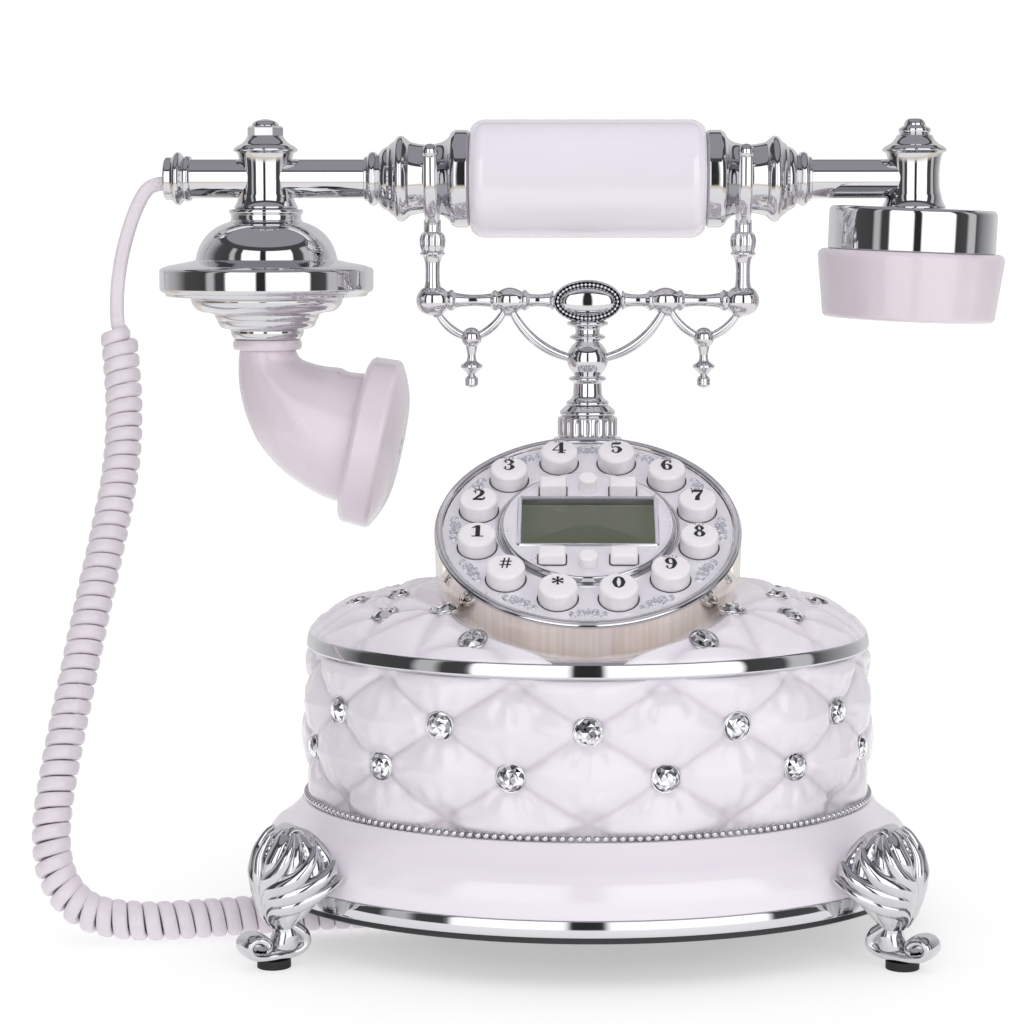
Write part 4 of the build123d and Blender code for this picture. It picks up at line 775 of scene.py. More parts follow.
def motif(flip):
    """One ornament: a fan of five petals between two pairs of scrolls, upright on its base line."""
    lines = [scroll((0.3, 0.0), 0.15, 5.2, 0.95), scroll((0.3, 0.6), 0.9, 3.4, -0.9),
             scroll((3.0, 0.2), -0.1, 3.6, 0.9)]
    lines += [np.stack([np.linspace(0, r * sin(a), 10), np.linspace(0.8, 0.8 + r * cos(a), 10)], -1)
              for a, r in ((0.0, 3.3), (0.5, 2.9), (1.0, 2.2))]
    return [line * [flip, 1] for line in lines]


MOTIF_R = FACE_R - 2.0


def ornaments():
    """The motif and its mirror image set between the keys, against the lip."""
    tubes = []
    for heading in turns(12):
        for line in motif(1) + motif(-1):
            bend, r = heading + line[:, 0] / MOTIF_R, MOTIF_R - line[:, 1] * 0.95
            tubes.append(np.stack([r * np.cos(bend), r * np.sin(bend), 0 * r - LIP + 0.10], -1))
    return tubes


def join_tubes(tubes, thick):
    """Points and faces of many raised strokes in one mesh, each thin at its ends and closed."""
    points, faces, count = [], [], 0
    for line in tubes:
        t = np.linspace(0, 1, len(line))
        swell = 0.35 + 0.65 * np.sin(pi * (t * 0.92 + 0.04)) ** 0.6
        grid = cap_ends(wire(line, thick * swell, [0, 0, 1.0], 8))
        faces.append(lattice(*grid.shape[:2]) + count)
        points.append(grid.reshape(-1, 3))
        count += len(points[-1])
    return np.concatenate(points), np.concatenate(faces).tolist()


relief_silver = finish("relief_silver", (0.80, 0.81, 0.86), 0.16, metal=0.8, mottle=0.05, mottle_size=0.004,
                       rough_spread=0.04)
scroll_points, scroll_faces = join_tubes(ornaments(), 0.42)
solid("face_scrolls", on_dial(scroll_points), scroll_faces, relief_silver, "base", "silver_plate", sharp=80)

# ---------------------------------------------------------------- display
# Liquid-crystal display behind a clear pane, in a bevelled frame on the raised disc.

LCD_W, LCD_H, LCD_UP = 39.4, 21.6, 1.5
display_face = finish("display_face", (0.105, 0.118, 0.078), 0.22, mottle=0.08, mottle_size=0.02, rough_spread=0.03,
                      Coat_Weight=0.35, Coat_Roughness=0.12)
# colour of the painted shadow strip under the frame's top edge
display_shade = finish("display_shade", (0.030, 0.034, 0.026), 0.30, mottle=0.2, rough_spread=0.05, Coat_Weight=1.0,
                       Coat_Roughness=0.03)
disc_top = -LIP + INSET_RISE


def rounded_box(width, high, low_z, top_z, corner, bevel, at_x=0.0, at_y=0.0, arc=6):
    """Grid of a flat block with round corners: rings of its outline from the bottom up, closed at both ends."""
    rings = []
    for inset, z in ((None, low_z), (0.0, low_z), (0.0, top_z - bevel), (bevel * 0.3, top_z - bevel * 0.3),
                     (bevel, top_z), (None, top_z)):
        grow = 0.0 if inset is None else inset
        angle = np.concatenate([np.linspace(q, q + pi / 2, arc) for q in np.arange(4) * pi / 2])
        cx = np.sign(np.cos(np.arange(4) * pi / 2 + pi / 4)).repeat(arc) * (width / 2 - corner)
        cy = np.sign(np.sin(np.arange(4) * pi / 2 + pi / 4)).repeat(arc) * (high / 2 - corner)
        ring = np.stack([cx + (corner - grow) * np.cos(angle), cy + (corner - grow) * np.sin(angle)], -1)
        if inset is None:
            ring = ring * 0
        rings.append(np.concatenate([ring + [at_x, at_y], np.full((4 * arc, 1), z)], 1))
    return np.array(rings)


shell("display_pane", on_dial(rounded_box(LCD_W, LCD_H, disc_top - 1.6, disc_top + 0.02, 0.6, 0.02, 0, LCD_UP)),
      display_face, "base", "display_glass", "display_window", sharp=30)
# Painted shadow: a dark strip along the top of the pane stands for the shadow that the frame casts into the recessed
# display.
shell("painted_shadow_strip", on_dial(rounded_box(LCD_W - 0.6, 2.6, disc_top - 1.0, disc_top + 0.06, 0.3, 0.02, 0,
                                              LCD_UP + LCD_H / 2 - 1.6)),
      display_shade, "base", "display_glass", sharp=30)
frame_rings = []
for grow, z in ((-0.1, disc_top - 0.5), (-0.1, disc_top + 0.15), (0.25, disc_top + 0.4), (0.8, disc_top + 0.45),
                (1.2, disc_top + 0.1), (1.3, disc_top - 0.5)):
    frame_rings.append(rounded_box(LCD_W + 2 * grow, LCD_H + 2 * grow, z, z, 0.6 + grow * 0.6, 0.0, 0, LCD_UP)[1])
frame_rings.append(frame_rings[0])
silver_frame = finish("display_frame", (0.80, 0.80, 0.84), 0.16, metal=0.9, mottle=0.04, rough_spread=0.04)
shell("display_frame", on_dial(np.array(frame_rings)), silver_frame, "base", "silver_plate", sharp=30)

# ---------------------------------------------------------------- keys
# Milky acrylic buttons that slide in the face: twelve round ones with pad-printed black numerals in a
# fat slab-serif letter, and six plain small ones round the display.

key_milk = finish("key_milk", (0.89, 0.86, 0.885), 0.20, mottle=0.04, mottle_size=0.01, rough_spread=0.04,
                  Coat_Weight=0.5, Coat_Roughness=0.08, Subsurface_Weight=0.35, Subsurface_Scale=0.002,
                  Subsurface_Radius=(1.0, 0.85, 0.9))
print_ink = finish("print_ink", (0.012, 0.012, 0.014), 0.32, mottle=0.2, mottle_size=0.001, rough_spread=0.06)
KEY_R, KEY_CIRCLE, KEY_PROUD, KEY_FIRST = 5.65, 33.5, 5.3, 105.0
NUMERAL_TALL, SIGN_TALL, NUMERAL_UP, INK_LOW, INK_HIGH, INK_STEP = 5.5, 4.8, 0.9, 0.02, 0.13, 0.004
KEYS = (("4", "4"), ("3", "3"), ("2", "2"), ("1", "1"), ("hash", "#"), ("star", "*"), ("0", "0"), ("9", "9"),
        ("8", "8"), ("7", "7"), ("6", "6"), ("5", "5"))
# strokes of each numeral, in its own height: points (across, up) with the stroke's width at each
INK = {
    "0": [[(0.24, 0.5, 0.24), (0.16, 0.8, 0.18), (0.0, 0.95, 0.06), (-0.16, 0.8, 0.18), (-0.24, 0.5, 0.24),
           (-0.16, 0.2, 0.18), (0.0, 0.05, 0.06), (0.16, 0.2, 0.18), (0.24, 0.5, 0.24)]],
    "1": [[(0.05, 0.03, 0.25), (0.05, 0.97, 0.25)], [(-0.26, 0.76, 0.06), (-0.1, 0.84, 0.10), (0.02, 0.95, 0.06)],
          [(-0.28, 0.035, 0.07), (0.36, 0.035, 0.07)]],
    "2": [[(-0.21, 0.72, 0.05), (-0.2, 0.72, 0.24), (-0.14, 0.72, 0.22)],
          [(-0.28, 0.76, 0.05), (-0.16, 0.94, 0.06), (0.06, 0.95, 0.10), (0.22, 0.74, 0.25), (0.12, 0.48, 0.20),
           (-0.12, 0.26, 0.12), (-0.30, 0.05, 0.06)],
          [(-0.30, 0.10, 0.14), (-0.10, 0.14, 0.17), (0.12, 0.09, 0.18), (0.30, 0.14, 0.12), (0.34, 0.32, 0.05)]],
    "3": [[(-0.22, 0.76, 0.05), (-0.20, 0.76, 0.22), (-0.14, 0.76, 0.20)],
          [(-0.28, 0.80, 0.05), (-0.14, 0.95, 0.06), (0.06, 0.94, 0.12), (0.19, 0.75, 0.23), (0.08, 0.55, 0.08),
           (-0.08, 0.52, 0.06)],
          [(-0.08, 0.52, 0.06), (0.10, 0.50, 0.10), (0.22, 0.27, 0.26), (0.06, 0.06, 0.11), (-0.14, 0.05, 0.06),
           (-0.29, 0.22, 0.05)], [(-0.24, 0.24, 0.05), (-0.21, 0.24, 0.24), (-0.15, 0.24, 0.22)]],
    "4": [[(0.12, 0.03, 0.23), (0.12, 0.98, 0.23)], [(0.10, 0.95, 0.07), (-0.34, 0.30, 0.07)],
          [(-0.38, 0.27, 0.08), (0.38, 0.27, 0.08)], [(-0.08, 0.035, 0.07), (0.34, 0.035, 0.07)]],
    "5": [[(-0.22, 0.90, 0.14), (0.05, 0.90, 0.17), (0.27, 0.94, 0.10)], [(-0.24, 0.93, 0.05), (-0.24, 0.48, 0.06)],
          [(-0.24, 0.50, 0.05), (-0.08, 0.60, 0.08), (0.12, 0.56, 0.14), (0.22, 0.32, 0.26), (0.08, 0.07, 0.12),
           (-0.12, 0.05, 0.06), (-0.28, 0.20, 0.05)],
          [(-0.24, 0.23, 0.05), (-0.20, 0.23, 0.24), (-0.14, 0.23, 0.22)]],
    "6": [[(0.28, 0.80, 0.05), (0.08, 0.96, 0.06), (-0.12, 0.84, 0.16), (-0.22, 0.50, 0.25), (-0.14, 0.17, 0.17),
           (0.02, 0.05, 0.06)], [(0.16, 0.78, 0.20), (0.24, 0.78, 0.20)],
          [(0.02, 0.05, 0.06), (0.17, 0.14, 0.16), (0.22, 0.31, 0.22), (0.16, 0.48, 0.16), (0.02, 0.57, 0.06),
           (-0.14, 0.48, 0.05)]],
    "7": [[(-0.28, 0.97, 0.05), (-0.27, 0.66, 0.06)], [(-0.28, 0.86, 0.16), (-0.05, 0.88, 0.20), (0.32, 0.87, 0.14)],
          [(0.30, 0.88, 0.07), (0.14, 0.62, 0.13), (0.00, 0.32, 0.24), (-0.02, 0.04, 0.26)]],
    "8": [[(0.17, 0.75, 0.19), (0.10, 0.90, 0.12), (0.0, 0.96, 0.06), (-0.10, 0.90, 0.12), (-0.17, 0.75, 0.19),
           (-0.08, 0.60, 0.12), (0.04, 0.53, 0.07), (0.13, 0.62, 0.10), (0.17, 0.75, 0.19)],
          [(0.22, 0.27, 0.23), (0.14, 0.44, 0.16), (0.0, 0.52, 0.08), (-0.14, 0.44, 0.14), (-0.22, 0.27, 0.21),
           (-0.14, 0.11, 0.13), (0.0, 0.04, 0.06), (0.14, 0.11, 0.14), (0.22, 0.27, 0.23)]],
    "#": [[(-0.20, 0.02, 0.10), (-0.06, 0.98, 0.10)], [(0.08, 0.02, 0.10), (0.22, 0.98, 0.10)],
          [(-0.36, 0.33, 0.09), (0.34, 0.33, 0.09)], [(-0.32, 0.66, 0.09), (0.38, 0.66, 0.09)]],
    "*": [[(0.0, 0.62, 0.05), (0.33 * cos(a), 0.62 + 0.33 * sin(a), 0.16)] for a in np.arange(6) * pi / 3 + pi / 6],
}
INK["9"] = [[(-x, 1 - y, width) for x, y, width in line] for line in INK["6"]]
key_top = -LIP + KEY_PROUD
key_line = edge_line([(0.0, -LIP - 3.0), (KEY_R, -LIP - 3.0), (KEY_R, key_top - 1.0),
                      (KEY_R - 1.1, key_top - 0.1, 0.30), (0.0, key_top + 0.1, 0.06)], ease=0.5)


def numeral(text, x, y):
    """A fat slab-serif numeral as thin printed strips: each stroke is a curve through its points, thick and
    thin by turns, and every strip lies a hair higher than the last."""
    points, faces = [], []
    for layer, line in enumerate(INK[text]):
        keys, fine = np.arange(len(line)), np.linspace(0, len(line) - 1, 12 * (len(line) - 1) + 1)
        across, up, width = (np.interp(fine, keys, row) for row in np.array(line).T)
        if len(line) > 2:
            soft = np.hanning(11)[1:-1] / np.hanning(11).sum()
            closed = line[0] == line[-1]
            reach = [np.concatenate([row[-5:-1], row, row[1:5]]) if closed else np.pad(row, 4, mode="reflect",
                     reflect_type="odd") for row in (across, up, width)]
            across, up, width = (np.convolve(row, soft, "valid") for row in reach)
        middle_line = np.stack([across, up - 0.5], -1)
        run = heading_of(middle_line)
        normal = np.stack([-run[:, 1], run[:, 0]], -1) * width[:, None] / 2
        tall = SIGN_TALL if text == "#" else NUMERAL_TALL
        rim = np.concatenate([middle_line + normal, middle_line - normal]) * tall * [0.98, 1.0]
        rim += [x, y + NUMERAL_UP]
        n, base = len(across), sum(len(p) for p in points)
        for z in (key_top + INK_LOW, key_top + INK_HIGH + INK_STEP * layer):
            points.append(np.concatenate([rim, np.full((2 * n, 1), z)], 1))
        k = np.arange(n - 1)[:, None] + base
        for a, b in ((0, n), (3 * n, 2 * n), (2 * n, 0), (n, 3 * n)):
            faces += np.concatenate([k + a, k + a + 1, k + b + 1, k + b], 1).tolist()
        faces += [[base, base + n, base + 3 * n, base + 2 * n],
                  [base + n - 1, base + 3 * n - 1, base + 4 * n - 1, base + 2 * n - 1]]
    return on_dial(np.concatenate(points)), faces


faint_ink = finish("faint_ink", (0.20, 0.195, 0.21), 0.36, mottle=0.2, mottle_size=0.001, rough_spread=0.06)
LETTERS = {"2": "ABC", "3": "DEF", "4": "GHI", "5": "JKL", "6": "MNO", "7": "PQRS", "8": "TUV", "9": "WXYZ"}
LETTER_SIZE, LETTER_THICK, LETTER_R, LETTER_STEP, LETTER_UP = 1.2, 0.04, 3.85, 0.25, 0.03


def small_letters(text, x, y):
    """Points and faces of small capitals set in an arc over a numeral, each a thin printed layer: a letter's
    own height adds to the arc's radius, and the letter turns with its place on the arc."""
    points, faces, count = [], [], 0
    for k, letter in enumerate(text):
        curve = bpy.data.curves.new("letter", "FONT")
        curve.body, curve.size, curve.extrude = letter, LETTER_SIZE, LETTER_THICK
        curve.align_x, curve.resolution_u = "CENTER", 3
        holder = bpy.data.objects.new("letter", curve)
        mesh = bpy.data.meshes.new_from_object(holder)
        flat = np.empty(len(mesh.vertices) * 3)
        loops, starts = np.empty(len(mesh.loops), np.int32), np.empty(len(mesh.polygons), np.int32)
        mesh.vertices.foreach_get("co", flat)
        mesh.loops.foreach_get("vertex_index", loops)
        mesh.polygons.foreach_get("loop_start", starts)
        across, up, rise = flat.reshape(-1, 3).T
        lean, radius = ((len(text) - 1) / 2 - k) * LETTER_STEP, LETTER_R + up
        points.append(np.stack([x + across * cos(lean) - radius * sin(lean),
                                y + across * sin(lean) + radius * cos(lean), key_top + LETTER_UP + rise], -1))
        faces += [face.tolist() for face in np.split(loops + count, starts[1:])]
        count += len(points[-1])
        bpy.data.objects.remove(holder)
    return on_dial(np.concatenate(points)), faces


# Painted shade: a thin dark disc, a little wider than each key, lies on the face under it and stands for the shade in
# the gap round the key; the small keys get dark rounded boxes the same way.
painted_gap_shade = finish("painted_gap_shade", (0.03, 0.028, 0.032), 0.5, mottle=0.2, mottle_size=0.002)
WELL_GAP, WELL_DEEP, WELL_UP = 0.4, 0.3, 0.03
well_line = edge_line([(0.0, -WELL_DEEP), (KEY_R + WELL_GAP, -WELL_DEEP), (KEY_R + WELL_GAP, WELL_UP),
                       (0.0, WELL_UP)], ease=0.01)
key_turn = np.radians(KEY_FIRST + 30 * np.arange(12))
key_spots = np.stack([KEY_CIRCLE * np.cos(key_turn), KEY_CIRCLE * np.sin(key_turn), 0 * key_turn], -1)
many("key_wells", on_dial(at_spots(turn_round(well_line, 64), key_spots - [0, 0, LIP])), painted_gap_shade, "base",
     "silver_plate")
for (name, text), (x, y, _) in zip(KEYS, key_spots):
    grid = turn_round(key_line, 64) + [x, y, 0]
    shell(f"button_{name}", on_dial(grid), key_milk, f"key_{name}", "key_plastic", f"key_{name}", sharp=60)
    points, faces = numeral(text, x, y)
    solid(f"numeral_{name}", points, faces, print_ink, f"key_{name}", "key_plastic", flat=True)
    if text in LETTERS:
        points, faces = small_letters(LETTERS[text], x, y)
        solid(f"letters_{name}", points, faces, faint_ink, f"key_{name}", "key_plastic", flat=True)

SIDE_W, SIDE_H, SIDE_X, MID_R, SIDE_DOWN = 7.9, 5.2, 10.4, 2.8, 4.4
# row, how far up the face its pair lies, how proud its keys stand, how far up its middle key lies
for row, up, proud, mid_up in (("upper", 16.0, 4.2, 17.8), ("lower", -16.5, 3.3, -18.3)):
    for side_name, x in (("left", -SIDE_X), ("right", SIDE_X)):
        grid = rounded_box(SIDE_W, SIDE_H, disc_top - SIDE_DOWN, disc_top + proud, 0.9, 0.6, x, up)
        well = rounded_box(SIDE_W + 2 * WELL_GAP, SIDE_H + 2 * WELL_GAP, disc_top - WELL_DEEP, disc_top + WELL_UP,
                           1.2, 0.01, x, up)
        shell(f"well_{row}_{side_name}", on_dial(well), painted_gap_shade, "base", "silver_plate", sharp=60)
        shell(f"button_{row}_{side_name}", on_dial(grid), key_milk, f"key_{row}_{side_name}", "key_plastic",
              f"key_{row}_{side_name}", sharp=60)
    small_line = edge_line([(0.0, disc_top - SIDE_DOWN), (MID_R, disc_top - SIDE_DOWN),
                            (MID_R, disc_top + proud - 0.6),
                            (MID_R - 0.7, disc_top + proud, 0.2), (0.0, disc_top + proud)], ease=0.3)
    shell(f"button_{row}_mid", on_dial(turn_round(small_line, 40) + [0, mid_up, 0]), key_milk, f"key_{row}_mid",
          "key_plastic", f"key_{row}_mid", sharp=60)
repaint("main_board", finish("board_mask", (0.03, 0.15, 0.06), 0.35, mottle=0.2, rough_spread=0.05))
repaint("hook_spring", chrome)

# ---------------------------------------------------------------- stem collar
# A chromed gadrooned sleeve screwed on the boss, through which the stem slides.

FLUTES, FLUTE_DEEP = 18, 0.085
collar_low = middle("stem_collar")[2]
collar_line = edge_line([(0.0, collar_low), (8.65, collar_low), (9.25, collar_low + 0.8), (9.25, collar_low + 6.2),
                         (7.85, collar_low + 6.8), (8.25, collar_low + 8.6, 0.6), (6.65, collar_low + 10.0),
                         (0.0, collar_low + 10.0)], ease=0.3)
at = np.linspace(0, len(collar_line) - 1, 90)
dense = [np.interp(at, np.arange(len(collar_line)), row) for row in collar_line.T]
collar_grid = turn_round(np.stack(dense, -1), 216)
up_collar = collar_grid[..., 2] - collar_low
in_band = np.clip(np.minimum(up_collar - 0.6, 6.4 - up_collar) / 0.7, 0, 1)
ring_turn = np.arctan2(collar_grid[..., 1], collar_grid[..., 0])
gadroon = 1 - FLUTE_DEEP * in_band * (1 - np.abs(np.cos(FLUTES / 2 * ring_turn)) ** 0.6)
collar_grid[..., :2] *= gadroon[..., None]
collar_grid[..., :2] += stem_spot
shell("collar_sleeve", collar_grid, chrome, "base", "chromed_plastic", "stem_collar", sharp=60)

# ---------------------------------------------------------------- stem
# A turned and plated baluster on a plain shaft that slides in the boss: a foot ring, a reel, a ball
# and a vase, with a neck that takes the cradle bar.

FOOT_RING, NECK = 153.2, 178.55
stem_low = middle("cradle_stem")[2]
stem_line = edge_line([(0.0, stem_low), (3.5, stem_low), (3.5, FOOT_RING), (6.4, FOOT_RING),
                       (6.4, FOOT_RING + 1.1, 0.2), (4.5, FOOT_RING + 3.6, -0.5), (4.3, FOOT_RING + 6.8),
                       (5.5, FOOT_RING + 7.5),
                       (5.5, FOOT_RING + 8.6, 0.3), (3.9, FOOT_RING + 9.1), (3.5, 172.9, 2.75), (5.3, 173.7),
                       (5.3, 174.6, 0.3), (3.9, 175.2), (3.9, 177.0, -0.15), (6.1, 177.9), (6.1, 179.0, 0.3),
                       (3.4, NECK + 1.0), (0.0, NECK + 1.2)], ease=0.22)
shell("baluster", turn_round(stem_line, 80, 1.0, stem_spot), chrome, "cradle", "chromed_plastic", "cradle_stem")

# ---------------------------------------------------------------- cradle bar and its end columns
# Cast and plated: a bar turned in balls and vases either side of the medallion, meeting at each end
# the column of a fork.

STEM_Y, BAR_Z = 36.0, 185.5
bar_line = edge_line([(0.0, 10.5), (3.0, 10.5), (3.0, 11.1), (2.4, 11.6), (2.1, 17.9, -0.35), (3.1, 19.0),
                      (3.1, 20.0, 0.15), (2.8, 20.4), (2.8, 27.8, 1.25), (3.1, 28.2), (3.1, 29.2, 0.15),
                      (2.2, 30.0), (2.4, 40.9, -0.5), (3.2, 41.7), (3.2, 42.7, 0.15), (2.8, 43.4),
                      (4.3, 45.7, 0.2), (4.7, 48.2, 0.1), (4.1, 50.6, 0.15), (2.4, 52.4, 0.25),
                      (0.0, 53.1, 0.2)], ease=0.2)


def lay_on_x(grid, flip, up):
    """Lays a shape turned about Z along X, at a height and over the stem's line."""
    return np.stack([flip * grid[..., 2], grid[..., 1] + STEM_Y, grid[..., 0] + up], -1)


for flip, side_name in ((-1, "left"), (1, "right")):
    shell(f"bar_{side_name}", lay_on_x(turn_round(bar_line, 56), flip, BAR_Z), chrome, "cradle", "chrome_casting",
          *(["cradle_bar"] if flip < 0 else []))

# ---------------------------------------------------------------- medallion
# An oval boss that hides the joint of stem and bar: a polished dome inside a ring of beads.

MEDAL_W, MEDAL_H, MEDAL_Z = 21.5, 13.3, 185.2
GROOVE_IN, GROOVE_OUT = 1.95, 0.6            # edges of the dark groove, in from the oval's edge
PEARLS, PEARL_R, PEARL_IN, PEARL_UP = 38, 0.64, 1.38, 4.1
med_front, med_back = (corner[1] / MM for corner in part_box("medallion"))
# share of the oval, how far in from its edge, and depth from the back
INSET = np.array([(0, 0, 0), (0.95, 0, 0), (1, 0, 0.5), (1, 0, 4.3), (1, 0.12, 4.8), (1, 0.34, 5.0), (1, 0.56, 4.8),
                  (1, 0.68, 4.1), (1, 0.80, 3.9), (1, 1.95, 3.9), (1, 2.05, 4.4), (1, 2.2, 4.75), (0.97, 2.3, 5.15),
                  (0.90, 2.3, 5.65), (0.78, 2.3, 6.10), (0.62, 2.3, 6.45), (0.42, 2.3, 6.72), (0.20, 2.3, 6.86),
                  (0.0, 2.3, 6.9)])


def medal(line):
    """Oval form facing the front, from a profile of share, inset and depth."""
    angle = turns(96)
    share, inset, t = line[:, :1], line[:, 1:2], line[:, 2:]
    return np.stack([(MEDAL_W / 2 - inset) * share * np.cos(angle), med_back - t + 0 * angle,
                     MEDAL_Z + (MEDAL_H / 2 - inset) * share * np.sin(angle)], -1)


medal_scale = (med_back - med_front) / INSET[:, 2].max()
medal_piece = shell("medallion_dome", medal(INSET * [1, 1, medal_scale]), chrome, "cradle", "chrome_casting",
                    "medallion", sharp=60)


def in_groove(spots):
    """Whether spots lie in the groove between the rim and the dome, on the front."""
    inner, outer = (np.hypot(spots[:, 0] / (MEDAL_W / 2 - inset), (spots[:, 2] - MEDAL_Z) / (MEDAL_H / 2 - inset))
                    for inset in (GROOVE_IN, GROOVE_OUT))
    return (inner > 0.97) & (outer < 1.0) & (spots[:, 1] < med_back - 3 * medal_scale)


# The floor of the groove round the beads is coloured near black.
paint_where(medal_piece, finish("groove_dark", (0.035, 0.033, 0.04), 0.4, metal=0.6, mottle=0.3, mottle_size=0.002),
            in_groove)
turn = np.linspace(0, 2 * pi, 721)
oval = np.stack([(MEDAL_W / 2 - PEARL_IN) * np.cos(turn), (MEDAL_H / 2 - PEARL_IN) * np.sin(turn)], -1)
walk = walked(oval)
at = np.arange(PEARLS) / PEARLS * walk[-1]
bead_ring = np.stack([np.interp(at, walk, oval[:, 0]), 0 * at + med_back - PEARL_UP * medal_scale,
                      MEDAL_Z + np.interp(at, walk, oval[:, 1])], -1)
many("medallion_beads", at_spots(bead * PEARL_R, bead_ring), chrome, "cradle", "chrome_casting")

# ---------------------------------------------------------------- forks
# At each end of the bar a column rises to a saddle that takes the handset's waist: a flat band bent
# in a U from back to front, with a ball on each tip.

END_X, HAND_Z, SADDLE_R, SADDLE_THICK, PRONG_WIDE, PRONG_TOP = 48.0, 223.0, 11.05, 3.4, 4.2, 231.0
column_line = edge_line([(0.0, 186.5), (3.3, 187.4), (3.3, 188.5, 0.1), (2.8, 189.1), (2.25, 193.0, -0.2),
                         (2.35, 197.0, -0.1), (3.0, 199.2, -0.1), (3.7, 199.6), (3.7, 200.4, 0.2), (3.4, 200.9),
                         (4.0, 203.4, 0.15), (3.8, 205.3, 0.15), (2.7, 206.6, 0.2), (2.7, 210.4), (0.0, 210.4)],
                        ease=0.2)
LEAVES, LEAF_DEEP, TIP_R = 8, 0.13, 2.5


def saddle_grid():
    """The U: a rounded band carried round the waist from one tip to the other, standing across X."""
    t = np.linspace(0, 1, 70)[:, None]
    arm = PRONG_TOP - HAND_Z
    mid_r = SADDLE_R + SADDLE_THICK / 2
    half_turn = pi * mid_r
    s = t * (2 * arm + half_turn)
    bend = np.clip((s - arm) / mid_r, 0, pi)
    rise = np.where(s < arm, arm - s, 0) + np.where(s > arm + half_turn, s - arm - half_turn, 0)
    over, out = squared_circle(20, 0.7)
    reach = mid_r + out * SADDLE_THICK / 2
    return np.stack([over * PRONG_WIDE / 2 + 0 * t, -reach * np.cos(bend), rise - reach * np.sin(bend)], -1)


for flip, side_name in ((-1, "left"), (1, "right")):
    column = turn_round(column_line, 80)
    leafy = np.clip(np.minimum(column[..., 2] - 200.3, 206.2 - column[..., 2]) / 0.8, 0, 1)
    column[..., :2] *= (1 - LEAF_DEEP * leafy * (1 - np.abs(np.cos(LEAVES / 2 * turns(80))) ** 0.7))[..., None]
    shell(f"column_{side_name}", column + [flip * END_X, STEM_Y, 0], chrome, "cradle", "chrome_casting",
          *(["cradle_forks"] if flip < 0 else []))
    shell(f"saddle_{side_name}", cap_ends(saddle_grid()) + [flip * END_X, STEM_Y, HAND_Z], chrome, "cradle",
          "chrome_casting", sharp=60)
sphere = ball(25, 36)
tips = [(sx * END_X, STEM_Y + sy * (SADDLE_R + SADDLE_THICK / 2), PRONG_TOP) for sx in (-1, 1) for sy in (-1, 1)]
many("prong_tips", at_spots(sphere * TIP_R, np.array(tips)), chrome, "cradle", "chrome_casting")

# ---------------------------------------------------------------- swags
# Cast wire garlands under the bar: on each side a small arch and a long scroll meet on a turned drop
# that hangs under the bar.

BIG_SWAG_R, SMALL_SWAG_R, SWAG_TAPER, DROP_X, KNOB_R, JOINT_R = 1.55, 1.35, 0.25, 36.0, 3.2, 1.9
# each wire's start and end, how far its middle swings out (across, up), and its radius
SWAGS = (((46.5, 181.7), (36, 173.7), (1.0, -1.1), SMALL_SWAG_R),
         ((36, 173.7), (25.9, 182.1), (-0.9, -1.0), SMALL_SWAG_R),
         ((23.4, 182.1), (4.0, 167.4), (1.7, -2.4), BIG_SWAG_R))


def swag(start, end, swing, thick):
    """Round wire along a parabola whose middle swings out from the straight line, thinner towards its ends."""
    t = np.linspace(0, 1, 36)[:, None]
    a, b = np.array(start), np.array(end)
    line = (1 - t) ** 2 * a + 2 * t * (1 - t) * ((a + b) / 2 + 2 * np.array(swing)) + t ** 2 * b
    run = heading_of(line)
    width = thick * (1 - SWAG_TAPER * (2 * t - 1) ** 2)
    q = turns(18)[None]
    x = line[:, :1] - run[:, 1:] * width * np.cos(q)
    z = line[:, 1:] + run[:, :1] * width * np.cos(q)
    return np.stack([x, STEM_Y + width * np.sin(q), z], -1)


pendant_line = edge_line([(0.0, 158.2), (1.2, 158.7), (2, 160.1, 0.4), (1, 162.3, 0.5), (2.2, 163.7), (3.4, 164.8),
                          (3.4, 165.5), (1.7, 166.7), (1.3, 168.7, -0.1), (1.9, 171.7), (1.2, 173.4), (0.0, 173.6)],
                         ease=0.2)
hidden = ["cradle_swags"]
for flip, side_name in ((-1, "left"), (1, "right")):
    for k, form in enumerate(SWAGS):
        grid = cap_ends(swag(*form)) * [flip, 1, 1]
        shell(f"swag_{side_name}_{k}", grid, chrome, "cradle", "chrome_casting", *hidden, sharp=60)
        hidden = []
    shell(f"drop_{side_name}", turn_round(pendant_line, 48, 1.0, (flip * DROP_X, STEM_Y)), chrome, "cradle",
          "chrome_casting")
knobs = [(flip * DROP_X, STEM_Y, 174.0) for flip in (-1, 1)]
many("swag_knobs", at_spots(sphere * KNOB_R, np.array(knobs)), chrome, "cradle", "chrome_casting")
joints = [(flip * x, STEM_Y, z) for flip in (-1, 1) for x, z in ((46.6, 181.9), (24.6, 182.4))]
many("swag_joints", at_spots(sphere * JOINT_R, np.array(joints)), chrome, "cradle", "chrome_casting")

# ---------------------------------------------------------------- handset tube
# The spine of the handset: a drawn steel tube with bright plating that everything else threads on.

TUBE_R = 6.0
tube_left, tube_right = (corner[0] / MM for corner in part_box("handset_tube"))
tube_line = edge_line([(0.0, tube_left), (TUBE_R, tube_left), (TUBE_R, tube_right), (0.0, tube_right)], ease=0.4)
shell("spine_tube", lay_on_x(turn_round(tube_line, 64), 1, HAND_Z), chrome, "handset", "chrome_casting",
      "handset_tube")

# ---------------------------------------------------------------- grip
# The barrel that the hand holds: cast in milky plastic, polished, with softly rounded ends.

